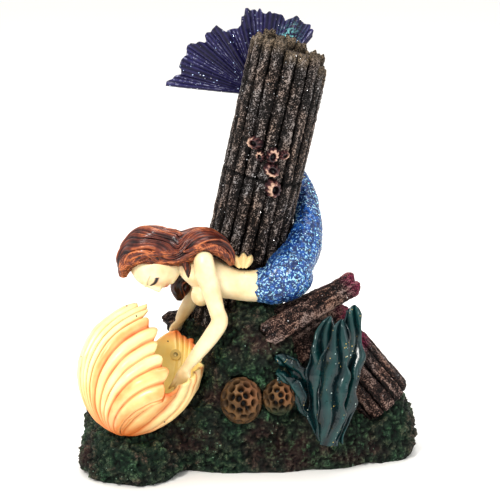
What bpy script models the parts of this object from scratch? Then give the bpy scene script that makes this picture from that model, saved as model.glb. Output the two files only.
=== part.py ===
"""Aquarium bubbling ornament: a mermaid on a rock reaches into an open clam shell.

A leaning timber post stands behind the figure, the tail winds round it, and air
from a hose elbow at the back leaves as bubbles from a jet inside the shell.
+Z is up, -Y is the front, and the origin is on the flat underside of the rock.
Lengths are in metres; mm() turns millimetres into metres.
"""

import math
import random

import bmesh
import bpy
from mathutils import Matrix, Vector


def mm(*values):
    """Millimetres as one length, or as a vector when there are three of them."""
    if len(values) == 1:
        return values[0] * 0.001
    return Vector(values) * 0.001


# ---- driving dimensions ----------------------------------------------------
FIT_GAP = mm(0.3)               # air between two castings that are glued together

POST_LEAN = math.radians(12.4)  # to the right, seen from the front
POST_LENGTH = mm(118.0)
POST_RADIUS = mm(15.8)
POST_LEFT_X = mm(-22.1)         # the foot's left and front edges stay here, clear of the
POST_FRONT_Y = mm(0.2)          # figure, so a thicker post grows to the right and backwards
POST_FOOT = Vector((POST_LEFT_X + POST_RADIUS, POST_FRONT_Y + POST_RADIUS, mm(50.0)))
STAVE_COUNT = 18
STAVE_DEPTH = mm(4.0)
STAVE_SLOT = mm(0.5)            # open joint between two staves
STAVE_END_RAGGED = mm(4.5)      # how unevenly the stave tops are broken
STAVE_BROKEN_OFF = mm(8.0)      # how much lower the staves on the right side end

SHELL_WALL = mm(2.0)
SHELL_BEAK = mm(-46.0, -29.0, 19.5)
UPPER_VALVE_HEIGHT = mm(49.0)
UPPER_VALVE_HALF_WIDTH = mm(22.0)
UPPER_VALVE_BULGE = mm(22.5)
UPPER_VALVE_TURN = math.radians(33)   # its hollow side faces right and back
LOWER_VALVE_BULGE = mm(15.0)
VALVE_SPREAD = math.radians(99)       # the ribs fan out this far to each side of the middle

SPONGE_LARGE_RADII = mm(8.0, 6.0, 9.4)
SPONGE_SMALL_RADII = mm(6.3, 5.0, 7.2)

PLANK_THICKNESS = mm(4.6)
PLANK_WIDTH = mm(9.0)
BOARD_THICKNESS = mm(3.0)
BOARD_WIDTH = mm(14.0)
KELP_THICKNESS = mm(1.5)
FIN_THICKNESS = mm(1.6)
FIN_REACH = mm(33.5)

WRECK_TOP = mm(36.4, 2.0, 44.4)
WRECK_FOOT = mm(55.4, 2.0, 21.3)
WRECK_RADIUS = mm(12.5)
WRECK_STAVES = 6
WRECK_STAVE_DEPTH = mm(3.4)

TUBE_OUTER_RADIUS = mm(2.5)
TUBE_BORE_RADIUS = mm(1.5)
ELBOW_OUTER_RADIUS = mm(2.3)
ELBOW_BORE_RADIUS = mm(1.1)
ELBOW_AXIS = mm(-30.0, 0.0, 13.0)     # the stub runs along Y through this point
ELBOW_BEND_Y = mm(42.0)
ELBOW_ARM = mm(13.0)
GROMMET_RADIUS = mm(5.0)
GROMMET_LENGTH = mm(6.0)
REAR_SEAT_Y = mm(35.0)                # flat seat for the grommet on the rear face
JET_RADIUS = mm(2.2)
JET_BORE_RADIUS = mm(0.8)
POCKET_SIZE = mm(12.0, 28.0, 19.0)    # hollow in the underside for the tube


# ---- scene and materials ---------------------------------------------------
for old in list(bpy.data.objects):
    bpy.data.objects.remove(old)

ornament = bpy.data.collections.new("bubbling_ornament")
cutters = bpy.data.collections.new("cutters")
for group in (ornament, cutters):
    bpy.context.scene.collection.children.link(group)


def material(name, colour, roughness, metallic=0.0):
    made = bpy.data.materials.new(name)
    made.use_nodes = True
    shader = made.node_tree.nodes["Principled BSDF"]
    shader.inputs["Base Color"].default_value = (*colour, 1.0)
    shader.inputs["Roughness"].default_value = roughness
    shader.inputs["Metallic"].default_value = metallic
    return made


ROCK = material("mossy_rock", (0.03, 0.06, 0.04), 0.6)
SHELL = material("shell_cream", (0.93, 0.62, 0.27), 0.35)
SKIN = material("painted_skin", (0.86, 0.74, 0.46), 0.4)
HAIR = material("painted_hair", (0.25, 0.07, 0.03), 0.4)
TAIL = material("glitter_blue", (0.03, 0.12, 0.5), 0.35)
FIN = material("glitter_violet", (0.04, 0.03, 0.14), 0.3)
WOOD = material("weathered_wood", (0.1, 0.08, 0.07), 0.6)
WRECK = material("wreck_wood", (0.14, 0.06, 0.06), 0.5)
KELP = material("gloss_kelp", (0.01, 0.07, 0.08), 0.15)
SPONGE = material("sponge_ochre", (0.35, 0.22, 0.1), 0.4)
BARNACLE = material("barnacle_rose", (0.4, 0.22, 0.2), 0.5)
CLEAR = material("clear_vinyl", (0.75, 0.8, 0.8), 0.2)
PLASTIC = material("white_plastic", (0.8, 0.8, 0.78), 0.35)
RUBBER = material("black_rubber", (0.02, 0.02, 0.02), 0.7)


# ---- modelling helpers -----------------------------------------------------
def add_object(name, mesh, finish, group=ornament):
    obj = bpy.data.objects.new(name, mesh)
    group.objects.link(obj)
    if finish:
        mesh.materials.append(finish)
    if group is cutters:
        obj.hide_render = True
        obj.display_type = "WIRE"
    return obj


def from_bmesh(name, bm, finish, group=ornament, smooth=True):
    bmesh.ops.recalc_face_normals(bm, faces=bm.faces)
    if bm.calc_volume(signed=True) < 0:
        bmesh.ops.reverse_faces(bm, faces=bm.faces)
    mesh = bpy.data.meshes.new(name)
    bm.to_mesh(mesh)
    bm.free()
    if smooth:
        mesh.shade_smooth()
        mesh.set_sharp_from_angle(angle=math.radians(40))
    return add_object(name, mesh, finish, group)


def axes_matrix(origin, along, side):
    """A frame whose Z is along and whose X is as near to side as it can be."""
    z = along.normalized()
    x = (side - z * side.dot(z)).normalized()
    y = z.cross(x)
    return Matrix.Translation(origin) @ Matrix((x, y, z)).transposed().to_4x4()


def spline(points, steps):
    """Points of a Catmull-Rom curve through vectors of any size, steps to a span."""
    ends = [points[0]] + list(points) + [points[-1]]
    made = []
    for a, b, c, d in zip(ends, ends[1:], ends[2:], ends[3:]):
        for i in range(steps):
            t = i / steps
            made.append(0.5 * ((2 * b) + (c - a) * t + (2 * a - 5 * b + 4 * c - d) * t * t
                               + (3 * b - a - 3 * c + d) * t ** 3))
    made.append(points[-1].copy())
    return made


def loft(name, stations, side, finish, sides=10, steps=2, group=ornament):
    """A limb skinned through elliptical rings.

    A station is (centre, half width along side, half height, twist in degrees).
    """
    rows = [Vector((*centre, wide, high, math.radians(twist)))
            for centre, wide, high, twist in stations]
    rows = spline(rows, steps)
    centres = [row.xyz for row in [Vector(row[:3]) for row in rows]]
    bm = bmesh.new()
    rings = []
    for i, row in enumerate(rows):
        along = centres[min(i + 1, len(rows) - 1)] - centres[max(i - 1, 0)]
        frame = axes_matrix(centres[i], along, side) @ Matrix.Rotation(row[5], 4, "Z")
        ring = []
        for k in range(sides):
            angle = 2 * math.pi * k / sides
            ring.append(bm.verts.new(
                frame @ Vector((row[3] * math.cos(angle), row[4] * math.sin(angle), 0))))
        rings.append(ring)
    for lower, upper in zip(rings, rings[1:]):
        for k in range(sides):
            after = (k + 1) % sides
            bm.faces.new((lower[k], lower[after], upper[after], upper[k]))
    bm.faces.new(rings[0])
    bm.faces.new(rings[-1])
    return from_bmesh(name, bm, finish, group)


def ellipsoid(name, centre, radii, finish, frame=None, segments=14, group=ornament):
    bm = bmesh.new()
    bmesh.ops.create_uvsphere(bm, u_segments=segments, v_segments=segments // 2 + 1, radius=1.0)
    turn = frame if frame else Matrix.Identity(4)
    bm.transform(Matrix.Translation(centre) @ turn @ Matrix.Diagonal((*radii, 1.0)))
    return from_bmesh(name, bm, finish, group)


def cylinder(name, start, end, radius, finish, end_radius=None, sides=20, group=ornament):
    bm = bmesh.new()
    length = (end - start).length
    bmesh.ops.create_cone(bm, cap_ends=True, segments=sides, radius1=radius,
                          radius2=radius if end_radius is None else end_radius, depth=length)
    side = Vector((1, 0, 0)) if abs((end - start).normalized().x) < 0.9 else Vector((0, 1, 0))
    bm.transform(axes_matrix((start + end) / 2, end - start, side))
    return from_bmesh(name, bm, finish, group)


def block(name, frame, size, finish, bevel=0.0, group=ornament):
    bm = bmesh.new()
    bmesh.ops.create_cube(bm, size=1.0)
    bm.transform(frame @ Matrix.Diagonal((*size, 1.0)))
    obj = from_bmesh(name, bm, finish, group, smooth=False)
    if bevel:
        rounded = obj.modifiers.new("rounded", "BEVEL")
        rounded.width = bevel
        rounded.segments = 1
    return obj


def grid_shell(name, point, columns, rows, thickness, finish):
    """An open surface point(i, j) with a wall; i and j run from 0 to 1."""
    bm = bmesh.new()
    verts = [[bm.verts.new(point(i / columns, j / rows)) for j in range(rows + 1)]
             for i in range(columns + 1)]
    for i in range(columns):
        for j in range(rows):
            bm.faces.new((verts[i][j], verts[i + 1][j], verts[i + 1][j + 1], verts[i][j + 1]))
    obj = from_bmesh(name, bm, finish)
    wall = obj.modifiers.new("wall", "SOLIDIFY")
    wall.thickness = thickness
    wall.offset = 0.0
    wall.use_even_offset = False
    return obj


def make_real(obj):
    """Replaces the modifiers by the mesh they make, and keeps its largest body."""
    graph = bpy.context.evaluated_depsgraph_get()
    graph.update()
    mesh = bpy.data.meshes.new_from_object(obj.evaluated_get(graph))
    obj.modifiers.clear()
    obj.data = mesh
    bm = bmesh.new()
    bm.from_mesh(mesh)
    bmesh.ops.remove_doubles(bm, verts=bm.verts, dist=mm(0.01))
    bmesh.ops.dissolve_degenerate(bm, edges=bm.edges, dist=mm(0.01))
    flaps = [f for f in bm.faces if any(len(e.link_faces) == 1 for e in f.edges)]
    while flaps:
        bmesh.ops.delete(bm, geom=flaps, context="FACES")
        flaps = [f for f in bm.faces if any(len(e.link_faces) == 1 for e in f.edges)]
    bmesh.ops.delete(bm, geom=[e for e in bm.edges if not e.link_faces], context="EDGES")
    left = set(bm.faces)
    bodies = []
    while left:
        body = {left.pop()}
        front = list(body)
        while front:
            near = {f for e in front.pop().edges for f in e.link_faces} & left
            left -= near
            body |= near
            front.extend(near)
        bodies.append(body)
    chips = [f for body in sorted(bodies, key=len)[:-1] for f in body]
    bmesh.ops.delete(bm, geom=chips, context="FACES")
    bm.to_mesh(mesh)
    bm.free()
    return obj


def clearance_of(obj, gap=FIT_GAP):
    """A cutter: the object grown outwards by the gap."""
    graph = bpy.context.evaluated_depsgraph_get()
    graph.update()
    mesh = bpy.data.meshes.new_from_object(obj.evaluated_get(graph))
    mesh.transform(obj.matrix_world)
    cutter = add_object(obj.name + "_clearance", mesh, None, cutters)
    grown = cutter.modifiers.new("grown", "DISPLACE")
    grown.mid_level = 0.0
    grown.strength = gap * 1.35
    return make_real(cutter)


def boolean(obj, other, operation):
    step = obj.modifiers.new(other.name, "BOOLEAN")
    step.operation = operation
    step.object = other
    step.solver = "EXACT"


def cut_by(obj, *neighbours):
    """Takes each neighbour, with its fitting gap, out of the object."""
    for other in neighbours:
        cutter = other if other.hide_render else clearance_of(other)
        boolean(obj, cutter, "DIFFERENCE")
    return make_real(obj)


# ---- the leaning post ------------------------------------------------------
POST_AXIS = Vector((math.sin(POST_LEAN), 0, math.cos(POST_LEAN)))
POST_SIDE = Vector((math.cos(POST_LEAN), 0, -math.sin(POST_LEAN)))
POST_BACK = Vector((0, 1, 0))
POST_ENVELOPE = POST_RADIUS / math.cos(math.pi / STAVE_COUNT) + FIT_GAP


def around_post(height, degrees, distance):
    """A point beside the post: 0 degrees is its right side and 90 its back."""
    angle = math.radians(degrees)
    out = POST_SIDE * math.cos(angle) + POST_BACK * math.sin(angle)
    return POST_FOOT + POST_AXIS * height + out * distance


def wedge_stave(name, start, end, out, radius, depth, count, finish):
    """A stave of a round bundle: as wide as its share of the circle allows."""
    bm = bmesh.new()
    bmesh.ops.create_cube(bm, size=1.0)
    for vert in bm.verts:
        at = radius - depth if vert.co.x < 0 else radius
        half = at * math.tan(math.pi / count) - STAVE_SLOT / 2
        vert.co = Vector((at, math.copysign(half, vert.co.y), vert.co.z * (end - start).length))
    bm.transform(axes_matrix((start + end) / 2, end - start, out))
    obj = from_bmesh(name, bm, finish, smooth=False)
    worn = obj.modifiers.new("worn", "BEVEL")
    worn.width = mm(0.6)
    worn.segments = 1
    return obj


def build_post():
    """The core, its ring of staves, and the room they need in other pieces."""
    spread = random.Random(11)
    core_radius = POST_RADIUS - STAVE_DEPTH - FIT_GAP
    core_top = POST_LENGTH - STAVE_END_RAGGED * 1.4
    cylinder("post_core", POST_FOOT, POST_FOOT + POST_AXIS * core_top, core_radius * 0.99,
             WOOD, sides=18)
    for i in range(STAVE_COUNT):
        degrees = 360 * (i + 0.5) / STAVE_COUNT
        out = around_post(0, degrees, 1.0) - POST_FOOT
        top = POST_LENGTH - STAVE_END_RAGGED * spread.random()
        right = math.cos(math.radians(degrees))
        top -= STAVE_BROKEN_OFF * (1.0 if right > 0.95 else 0.4 * max(right, 0.0))
        wedge_stave(f"post_stave_{i + 1:02d}", POST_FOOT, POST_FOOT + POST_AXIS * top, out,
                    POST_RADIUS, STAVE_DEPTH, STAVE_COUNT, WOOD)
    return cylinder("post_hole", POST_FOOT - POST_AXIS * FIT_GAP,
                    POST_FOOT + POST_AXIS * POST_LENGTH, POST_ENVELOPE, None,
                    sides=STAVE_COUNT * 2, group=cutters)


def build_barnacles():
    """Cones on the front of the post; each is hollowed at its mouth."""
    places = ((77.6, 246.0, 2.6), (73.2, 258.0, 1.8), (74.5, 275.5, 2.6),
              (75.4, 291.4, 1.9), (68.8, 278.9, 2.8), (61.7, 287.2, 3.2))
    for i, (height, degrees, size) in enumerate(places, 1):
        foot = around_post(mm(height), degrees, POST_ENVELOPE)
        tip = around_post(mm(height), degrees, POST_ENVELOPE + mm(size))
        cone = cylinder(f"barnacle_{i}", foot, tip, mm(size), BARNACLE,
                        end_radius=mm(size * 0.62), sides=10)
        mouth = cylinder(f"barnacle_{i}_mouth", foot.lerp(tip, 0.45), foot.lerp(tip, 1.4),
                         mm(size * 0.2), None, end_radius=mm(size * 0.6), sides=10,
                         group=cutters)
        cut_by(cone, mouth)


# ---- the clam shell --------------------------------------------------------
def fan_surface(rim, out, start, end, fullness):
    """Ribs run from the beak to each point of the rim: a cubic curve over a bulge.

    start and end are how far along the rib its two middle points lie, and how far out.
    """
    def point(i, j):
        edge = rim((i * 2 - 1) * VALVE_SPREAD)
        reach = ((edge - SHELL_BEAK).length / UPPER_VALVE_HEIGHT) ** fullness
        first = SHELL_BEAK.lerp(edge, start[0]) + out * start[1] * reach
        second = SHELL_BEAK.lerp(edge, end[0]) + out * end[1] * reach
        t = 0.13 + 0.87 * j
        return (SHELL_BEAK * (1 - t) ** 3 + first * 3 * t * (1 - t) ** 2
                + second * 3 * t * t * (1 - t) + edge * t ** 3)
    return point


def upper_rim(theta):
    turn = UPPER_VALVE_TURN
    along = Vector((0.115, 0.30, 0.95)).normalized()
    across = Vector((math.sin(turn), -math.cos(turn), 0)) * UPPER_VALVE_HALF_WIDTH
    half = UPPER_VALVE_HEIGHT / 2
    return (SHELL_BEAK + along * half * (1 + math.cos(theta))
            + across * (0.86 * math.sin(theta) + 0.28 * math.sin(theta) ** 2))


def lower_rim(theta):
    """A tilted oval whose two long sides stand higher than its ends."""
    scale = UPPER_VALVE_HALF_WIDTH / mm(22.5)
    centre = SHELL_BEAK + mm(14.0, 16.0, 15.5) * scale
    forward = mm(15.0, 12.0, 8.5) * scale
    across = mm(4.5, -19.0, -5.0) * scale
    lift = mm(0.8, -0.8, 8.0) * scale
    return (centre + forward * math.cos(theta) + across * math.sin(theta)
            + lift * math.sin(theta) ** 2)


UPPER_OUT = Vector((-math.cos(UPPER_VALVE_TURN), -math.sin(UPPER_VALVE_TURN), 0.10))
LOWER_OUT = Vector((0.55, 0.25, -0.80))
UPPER_FAN = fan_surface(upper_rim, UPPER_OUT * UPPER_VALVE_BULGE, (0.12, 1.0), (0.84, 1.36), 1.1)
LOWER_FAN = fan_surface(lower_rim, LOWER_OUT * LOWER_VALVE_BULGE, (0.30, 1.0), (0.80, 0.73), 0.8)


def build_shell():
    upper = grid_shell("shell_upper_valve", UPPER_FAN, 16, 6, SHELL_WALL, SHELL)
    make_real(upper)
    lower = grid_shell("shell_lower_valve", LOWER_FAN, 16, 6, SHELL_WALL, SHELL)
    make_real(lower)
    cut_by(lower, upper)
    return upper, lower


# ---- the mermaid -----------------------------------------------------------
SIDEWAYS = Vector((0, 1, 0))


def build_torso():
    return loft("mermaid_torso", (
        (mm(-27.6, -9.0, 82.6), mm(3.1), mm(3.2), 0),
        (mm(-23.8, -8.6, 81.6), mm(3.6), mm(3.6), 0),
        (mm(-20.2, -8.2, 80.0), mm(8.4), mm(5.6), 0),
        (mm(-14.0, -8.0, 77.4), mm(8.6), mm(7.4), 0),
        (mm(-5.0, -8.0, 73.6), mm(7.2), mm(6.4), 0),
        (mm(5.2, -8.0, 72.5), mm(7.4), mm(6.2), 0)), SIDEWAYS, SKIN, sides=14)


def build_head():
    """Looking down: the crown is to the left and the face underneath."""
    frame = Matrix.Rotation(math.radians(8), 4, "Y")
    return ellipsoid("mermaid_head", mm(-34.4, -10.5, 82.4), mm(10.2, 7.4, 9.8), SKIN, frame)


def build_arms():
    left = loft("mermaid_left_arm", (
        (mm(-15.6, -16.0, 86.2), mm(3.2), mm(3.6), 0),
        (mm(-14.8, -17.6, 81.5), mm(3.8), mm(4.2), 0),
        (mm(-12.0, -19.0, 73.0), mm(3.4), mm(3.7), 0),
        (mm(-9.2, -20.8, 62.6), mm(3.1), mm(3.3), 0),
        (mm(-13.6, -21.6, 55.0), mm(2.9), mm(3.1), 0),
        (mm(-21.6, -22.0, 45.2), mm(2.2), mm(2.3), 0),
        (mm(-24.8, -21.4, 40.6), mm(3.0), mm(1.7), 0),
        (mm(-27.2, -20.4, 34.6), mm(2.4), mm(1.0), 0)), SIDEWAYS, SKIN)
    right = loft("mermaid_right_arm", (
        (mm(-16.2, 1.6, 80.6), mm(3.4), mm(3.6), 0),
        (mm(-17.4, 4.4, 73.4), mm(3.2), mm(3.4), 0),
        (mm(-21.6, 7.6, 61.4), mm(3.0), mm(3.1), 0),
        (mm(-25.4, 9.8, 54.4), mm(2.2), mm(2.3), 0),
        (mm(-27.2, 12.0, 49.0), mm(2.8), mm(1.6), 0),
        (mm(-28.8, 13.0, 44.6), mm(2.2), mm(1.0), 0)), SIDEWAYS, SKIN)
    return left, right


def build_hair():
    """The swept-back cap of hair, and a lock that hangs on the far side of the neck."""
    cap = loft("mermaid_hair", (
        (mm(-46.0, -10.5, 78.6), mm(4.4), mm(2.2), 0),
        (mm(-44.6, -10.5, 84.8), mm(7.8), mm(4.4), 0),
        (mm(-37.4, -10.5, 89.3), mm(9.2), mm(7.0), 0),
        (mm(-27.6, -10.0, 88.4), mm(8.4), mm(6.4), 0),
        (mm(-22.6, -9.8, 89.0), mm(7.6), mm(5.6), 0),
        (mm(-16.6, -9.6, 91.6), mm(7.8), mm(4.0), 0),
        (mm(-10.4, -9.5, 90.0), mm(6.8), mm(3.2), 0),
        (mm(-5.4, -9.8, 84.0), mm(3.2), mm(2.2), 0)), SIDEWAYS, HAIR, sides=14)
    lock = loft("mermaid_hair_lock", (
        (mm(-21.4, 3.2, 83.6), mm(2.0), mm(2.2), 0),
        (mm(-22.2, 3.6, 77.0), mm(2.8), mm(3.0), 0),
        (mm(-25.0, 3.0, 69.0), mm(3.4), mm(3.8), 0),
        (mm(-25.4, 2.4, 63.8), mm(1.8), mm(2.0), 0)), SIDEWAYS, HAIR, sides=8)
    return cap, lock


def build_bow():
    """The tie of her top, two loops that stand up from the small of the back."""
    return loft("back_bow", (
        (mm(-3.8, -9.0, 84.6), mm(0.7), mm(0.6), 0),
        (mm(-2.2, -8.4, 82.4), mm(1.7), mm(1.1), 0),
        (mm(-0.4, -8.0, 81.6), mm(1.5), mm(1.2), 0),
        (mm(1.6, -8.4, 83.2), mm(1.6), mm(1.0), 0),
        (mm(2.8, -9.0, 85.0), mm(0.6), mm(0.5), 0)), SIDEWAYS, SKIN, sides=6)


def build_tail():
    """From the hips round the right side of the post and up behind it."""
    def beside(height, degrees, radius):
        clear = POST_RADIUS + radius + FIT_GAP * 2
        return (around_post(height, degrees, clear), radius, radius, 0)

    hips = (
        (mm(5.8, -8.0, 72.5), mm(7.2), mm(6.1), 0),
        (mm(11.5, -8.6, 73.4), mm(8.0), mm(8.0), 0),
        (mm(17.4, -8.0, 76.6), mm(8.4), mm(9.4), 0))
    wrapped = (
        beside(mm(31.5), -47, mm(8.6)),
        beside(mm(40.0), -24, mm(7.2)),
        beside(mm(50.0), 8, mm(5.2)),
        beside(mm(59.0), 38, mm(4.8)),
        beside(mm(68.0), 72, mm(4.5)),
        beside(mm(76.5), 98, mm(4.0)),
        beside(mm(85.0), 112, mm(3.4)),
        beside(mm(89.0), 113, mm(2.8)))
    return loft("mermaid_tail", hips + wrapped, SIDEWAYS, TAIL, sides=12)


FIN_ROOT = around_post(mm(91.0), 113, POST_RADIUS + mm(3.4))


def fin_point(i, j):
    """The fluke: pleats that deepen from its root to a ragged edge."""
    angle = math.radians(172 - 122 * i)
    pleat = math.sin(i * math.pi * 13)
    ragged = 0.04 * math.sin(i * 31.0) + 0.03 * math.sin(i * 67.0 + 1.0)
    edge = FIN_REACH * (1.0 + 0.03 * i + 0.075 * (1 - i) ** 3 - 0.85 * i * (1 - i) ** 2
                        + ragged)
    reach = mm(3.0) + (edge - mm(3.0)) * j
    out = Vector((math.cos(angle), 0, math.sin(angle)))
    sway = mm(-9.0) * (1 - i) ** 2 * j + mm(2.0) * math.sin(i * 9.0) * j
    return FIN_ROOT + out * reach + Vector((0, mm(3.0) * j + sway + mm(1.1) * pleat * j, 0))


def build_fin():
    fin = grid_shell("tail_fin", fin_point, 26, 4, FIN_THICKNESS, FIN)
    return make_real(fin)


# ---- sponges, kelp and timber ----------------------------------------------
def build_sponges():
    large = ellipsoid("sponge_large", mm(-1.0, -20.5, 30.0), SPONGE_LARGE_RADII, SPONGE,
                      Matrix.Rotation(math.radians(-14), 4, "Y"))
    reach = SPONGE_LARGE_RADII.x + SPONGE_SMALL_RADII.x
    small = ellipsoid("sponge_small", mm(-1.0, -20.0, 31.2) + Vector((reach + FIT_GAP, 0, 0)),
                      SPONGE_SMALL_RADII, SPONGE, Matrix.Rotation(math.radians(12), 4, "Y"))
    cut_by(small, large)
    return large, small


def build_kelp():
    """Fronds that rise from one root and fan out in front of the timber."""
    half = KELP_THICKNESS / 2
    paths = (
        ((34.6, -20.6, 9.0, 3.0, 14), (38.2, -21.0, 24.0, 5.0, 24), (41.6, -20.0, 38.0, 5.2, 12),
         (43.0, -17.6, 52.0, 5.2, -12), (43.8, -14.6, 66.0, 2.4, 10)),
        ((30.0, -24.6, 8.0, 3.6, 0), (31.4, -25.6, 24.0, 5.2, -12), (33.6, -25.0, 38.0, 5.6, 10),
         (35.4, -22.4, 51.0, 5.0, -8), (36.6, -19.6, 62.6, 2.0, 0)),
        ((27.4, -20.4, 9.0, 2.8, -14), (27.4, -21.6, 24.0, 4.2, 12), (26.6, -21.4, 38.0, 5.0, -10),
         (27.8, -18.6, 50.0, 4.4, 14), (30.8, -15.6, 61.4, 1.8, 0)),
        ((31.0, -16.2, 10.0, 2.8, 10), (33.0, -16.6, 26.0, 4.4, -6), (34.6, -16.0, 42.0, 4.8, 8),
         (37.0, -13.4, 58.0, 2.2, 0)),
        ((28.0, -16.4, 32.0, 1.8, 60), (23.6, -17.2, 40.0, 3.6, 50), (18.4, -16.6, 44.6, 3.4, 62),
         (12.6, -15.0, 46.0, 1.2, 50)),
        ((27.0, -17.6, 20.0, 1.8, 50), (23.4, -20.6, 31.0, 3.0, 60), (18.6, -20.0, 38.0, 2.8, 50),
         (13.4, -18.6, 42.0, 1.2, 50)))
    fronds = []
    for i, path in enumerate(paths, 1):
        stations = [(mm(x, y, z), mm(wide), half, twist) for x, y, z, wide, twist in path]
        frond = loft(f"kelp_frond_{i}", stations, Vector((1, 0, 0)), KELP, sides=8, steps=2)
        fronds.append(cut_by(frond, *fronds) if fronds else frond)
    return fronds


def plank(name, start, end, width, thickness):
    frame = axes_matrix((start + end) / 2, end - start, Vector((0, 1, 0)))
    return block(name, frame, (thickness, width, (end - start).length), WRECK, bevel=mm(0.7))


def build_timber():
    front = plank("fallen_plank_front", mm(7.6, -15.4, 54.4), mm(42.8, -5.0, 73.2),
                  PLANK_WIDTH, PLANK_THICKNESS)
    back = plank("fallen_plank_back", mm(4.0, -6.0, 54.0), mm(34.0, 1.0, 66.0),
                 PLANK_WIDTH, PLANK_THICKNESS)
    board = plank("fallen_board", mm(8.0, -7.0, 40.0), mm(41.4, -3.0, 58.8),
                  BOARD_WIDTH, BOARD_THICKNESS)
    log = cylinder("rear_log", mm(-31.0, 17.0, 50.0), mm(-8.0, 30.0, 50.0), mm(4.3), WRECK,
                   sides=12)
    axis = WRECK_TOP - WRECK_FOOT
    core_radius = WRECK_RADIUS - WRECK_STAVE_DEPTH - FIT_GAP
    core = cylinder("wreck_core", WRECK_FOOT, WRECK_FOOT.lerp(WRECK_TOP, 0.94),
                    core_radius * 0.98, WRECK, sides=14)
    staves = []
    spread = random.Random(5)
    share = 12
    frame = axes_matrix(WRECK_FOOT, axis, Vector((1, 0, 0)))
    for i in range(WRECK_STAVES):
        angle = math.radians(15 - 360 * i / share)
        out = frame.to_3x3() @ Vector((math.cos(angle), math.sin(angle), 0))
        top = WRECK_FOOT + axis * (1.0 - 0.12 * spread.random())
        staves.append(wedge_stave(f"wreck_stave_{i + 1}", WRECK_FOOT, top, out, WRECK_RADIUS,
                                  WRECK_STAVE_DEPTH, share, WRECK))
    return [front, back, board, log, core] + staves


# ---- the air line ----------------------------------------------------------
def tube_mesh(name, points, radius, finish, group=ornament, resolution=2):
    """A solid round bar along a path, as a mesh."""
    curve = bpy.data.curves.new(name, "CURVE")
    curve.dimensions = "3D"
    curve.bevel_depth = radius
    curve.bevel_resolution = resolution
    curve.use_fill_caps = True
    path = curve.splines.new("POLY")
    path.points.add(len(points) - 1)
    for place, point in zip(path.points, points):
        place.co = (*point, 1.0)
    guide = bpy.data.objects.new(name, curve)
    ornament.objects.link(guide)
    graph = bpy.context.evaluated_depsgraph_get()
    graph.update()
    mesh = bpy.data.meshes.new_from_object(guide.evaluated_get(graph))
    bpy.data.objects.remove(guide)
    bm = bmesh.new()
    bm.from_mesh(mesh)
    bmesh.ops.remove_doubles(bm, verts=bm.verts, dist=mm(0.01))
    return from_bmesh(name, bm, finish, group)


def corner(start, bend, end, radius, steps=5):
    """start, a rounded corner at bend, then end."""
    to_start = (start - bend).normalized() * radius
    to_end = (end - bend).normalized() * radius
    arc = []
    for i in range(steps + 1):
        angle = math.pi / 2 * i / steps
        arc.append(bend + to_start * (1 - math.sin(angle)) + to_end * (1 - math.cos(angle)))
    return [start] + arc + [end]


STUB_INNER_Y = REAR_SEAT_Y - GROMMET_LENGTH - mm(3.0)


def build_elbow():
    """A right-angled hose barb that turns in its rubber grommet."""
    axis_x, axis_z = ELBOW_AXIS.x, ELBOW_AXIS.z
    inner = Vector((axis_x, STUB_INNER_Y, axis_z))
    bend = Vector((axis_x, ELBOW_BEND_Y, axis_z))
    outer = bend + Vector((0, 0, ELBOW_ARM))
    elbow = tube_mesh("air_elbow", corner(inner, bend, outer, mm(3.5)), ELBOW_OUTER_RADIUS,
                      PLASTIC)
    for i, share in enumerate((0.58, 0.80)):
        low = bend.lerp(outer, share)
        ring = cylinder(f"barb_{i}", low, low + Vector((0, 0, mm(2.2))),
                        ELBOW_OUTER_RADIUS + mm(0.5), None,
                        end_radius=ELBOW_OUTER_RADIUS - mm(0.2), sides=16, group=cutters)
        boolean(elbow, ring, "UNION")
    collar = cylinder("elbow_collar", Vector((axis_x, REAR_SEAT_Y + mm(1.6), axis_z)),
                      Vector((axis_x, REAR_SEAT_Y + mm(3.0), axis_z)),
                      ELBOW_OUTER_RADIUS + mm(1.2), None, sides=20, group=cutters)
    boolean(elbow, collar, "UNION")
    lead = mm(2.0)
    bore = tube_mesh("elbow_bore", corner(inner - Vector((0, lead, 0)), bend,
                                          outer + Vector((0, 0, lead)), mm(3.5)),
                     ELBOW_BORE_RADIUS, None, cutters)
    boolean(elbow, bore, "DIFFERENCE")
    return make_real(elbow)


def build_grommet():
    """A rubber ring with a lip on the outside of the rock."""
    hole = ELBOW_OUTER_RADIUS + FIT_GAP
    lip = mm(1.2)
    front = REAR_SEAT_Y - GROMMET_LENGTH
    profile = ((hole, REAR_SEAT_Y + lip), (GROMMET_RADIUS + mm(1.4), REAR_SEAT_Y + lip),
               (GROMMET_RADIUS + mm(1.4), REAR_SEAT_Y + FIT_GAP),
               (GROMMET_RADIUS, REAR_SEAT_Y + FIT_GAP), (GROMMET_RADIUS, front), (hole, front))
    segments = 24
    bm = bmesh.new()
    rings = [[bm.verts.new((ELBOW_AXIS.x + r * math.cos(2 * math.pi * k / segments), y,
                            ELBOW_AXIS.z + r * math.sin(2 * math.pi * k / segments)))
              for k in range(segments)] for r, y in profile]
    for ring, after in zip(rings, rings[1:] + rings[:1]):
        for k in range(segments):
            m = (k + 1) % segments
            bm.faces.new((ring[k], ring[m], after[m], after[k]))
    return from_bmesh("elbow_grommet", bm, RUBBER)


JET_THETA, JET_T = 0.20, 0.78       # where the jet pierces the lower valve


def jet_place():
    """The middle of the valve's wall at the jet, and the way the bubbles leave."""
    surface = LOWER_FAN
    at = surface(JET_THETA, JET_T)
    across = surface(JET_THETA + 0.02, JET_T) - surface(JET_THETA - 0.02, JET_T)
    down = surface(JET_THETA, JET_T + 0.02) - surface(JET_THETA, JET_T - 0.02)
    inward = across.cross(down).normalized()
    return at, -inward if inward.y > 0 else inward


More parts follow.
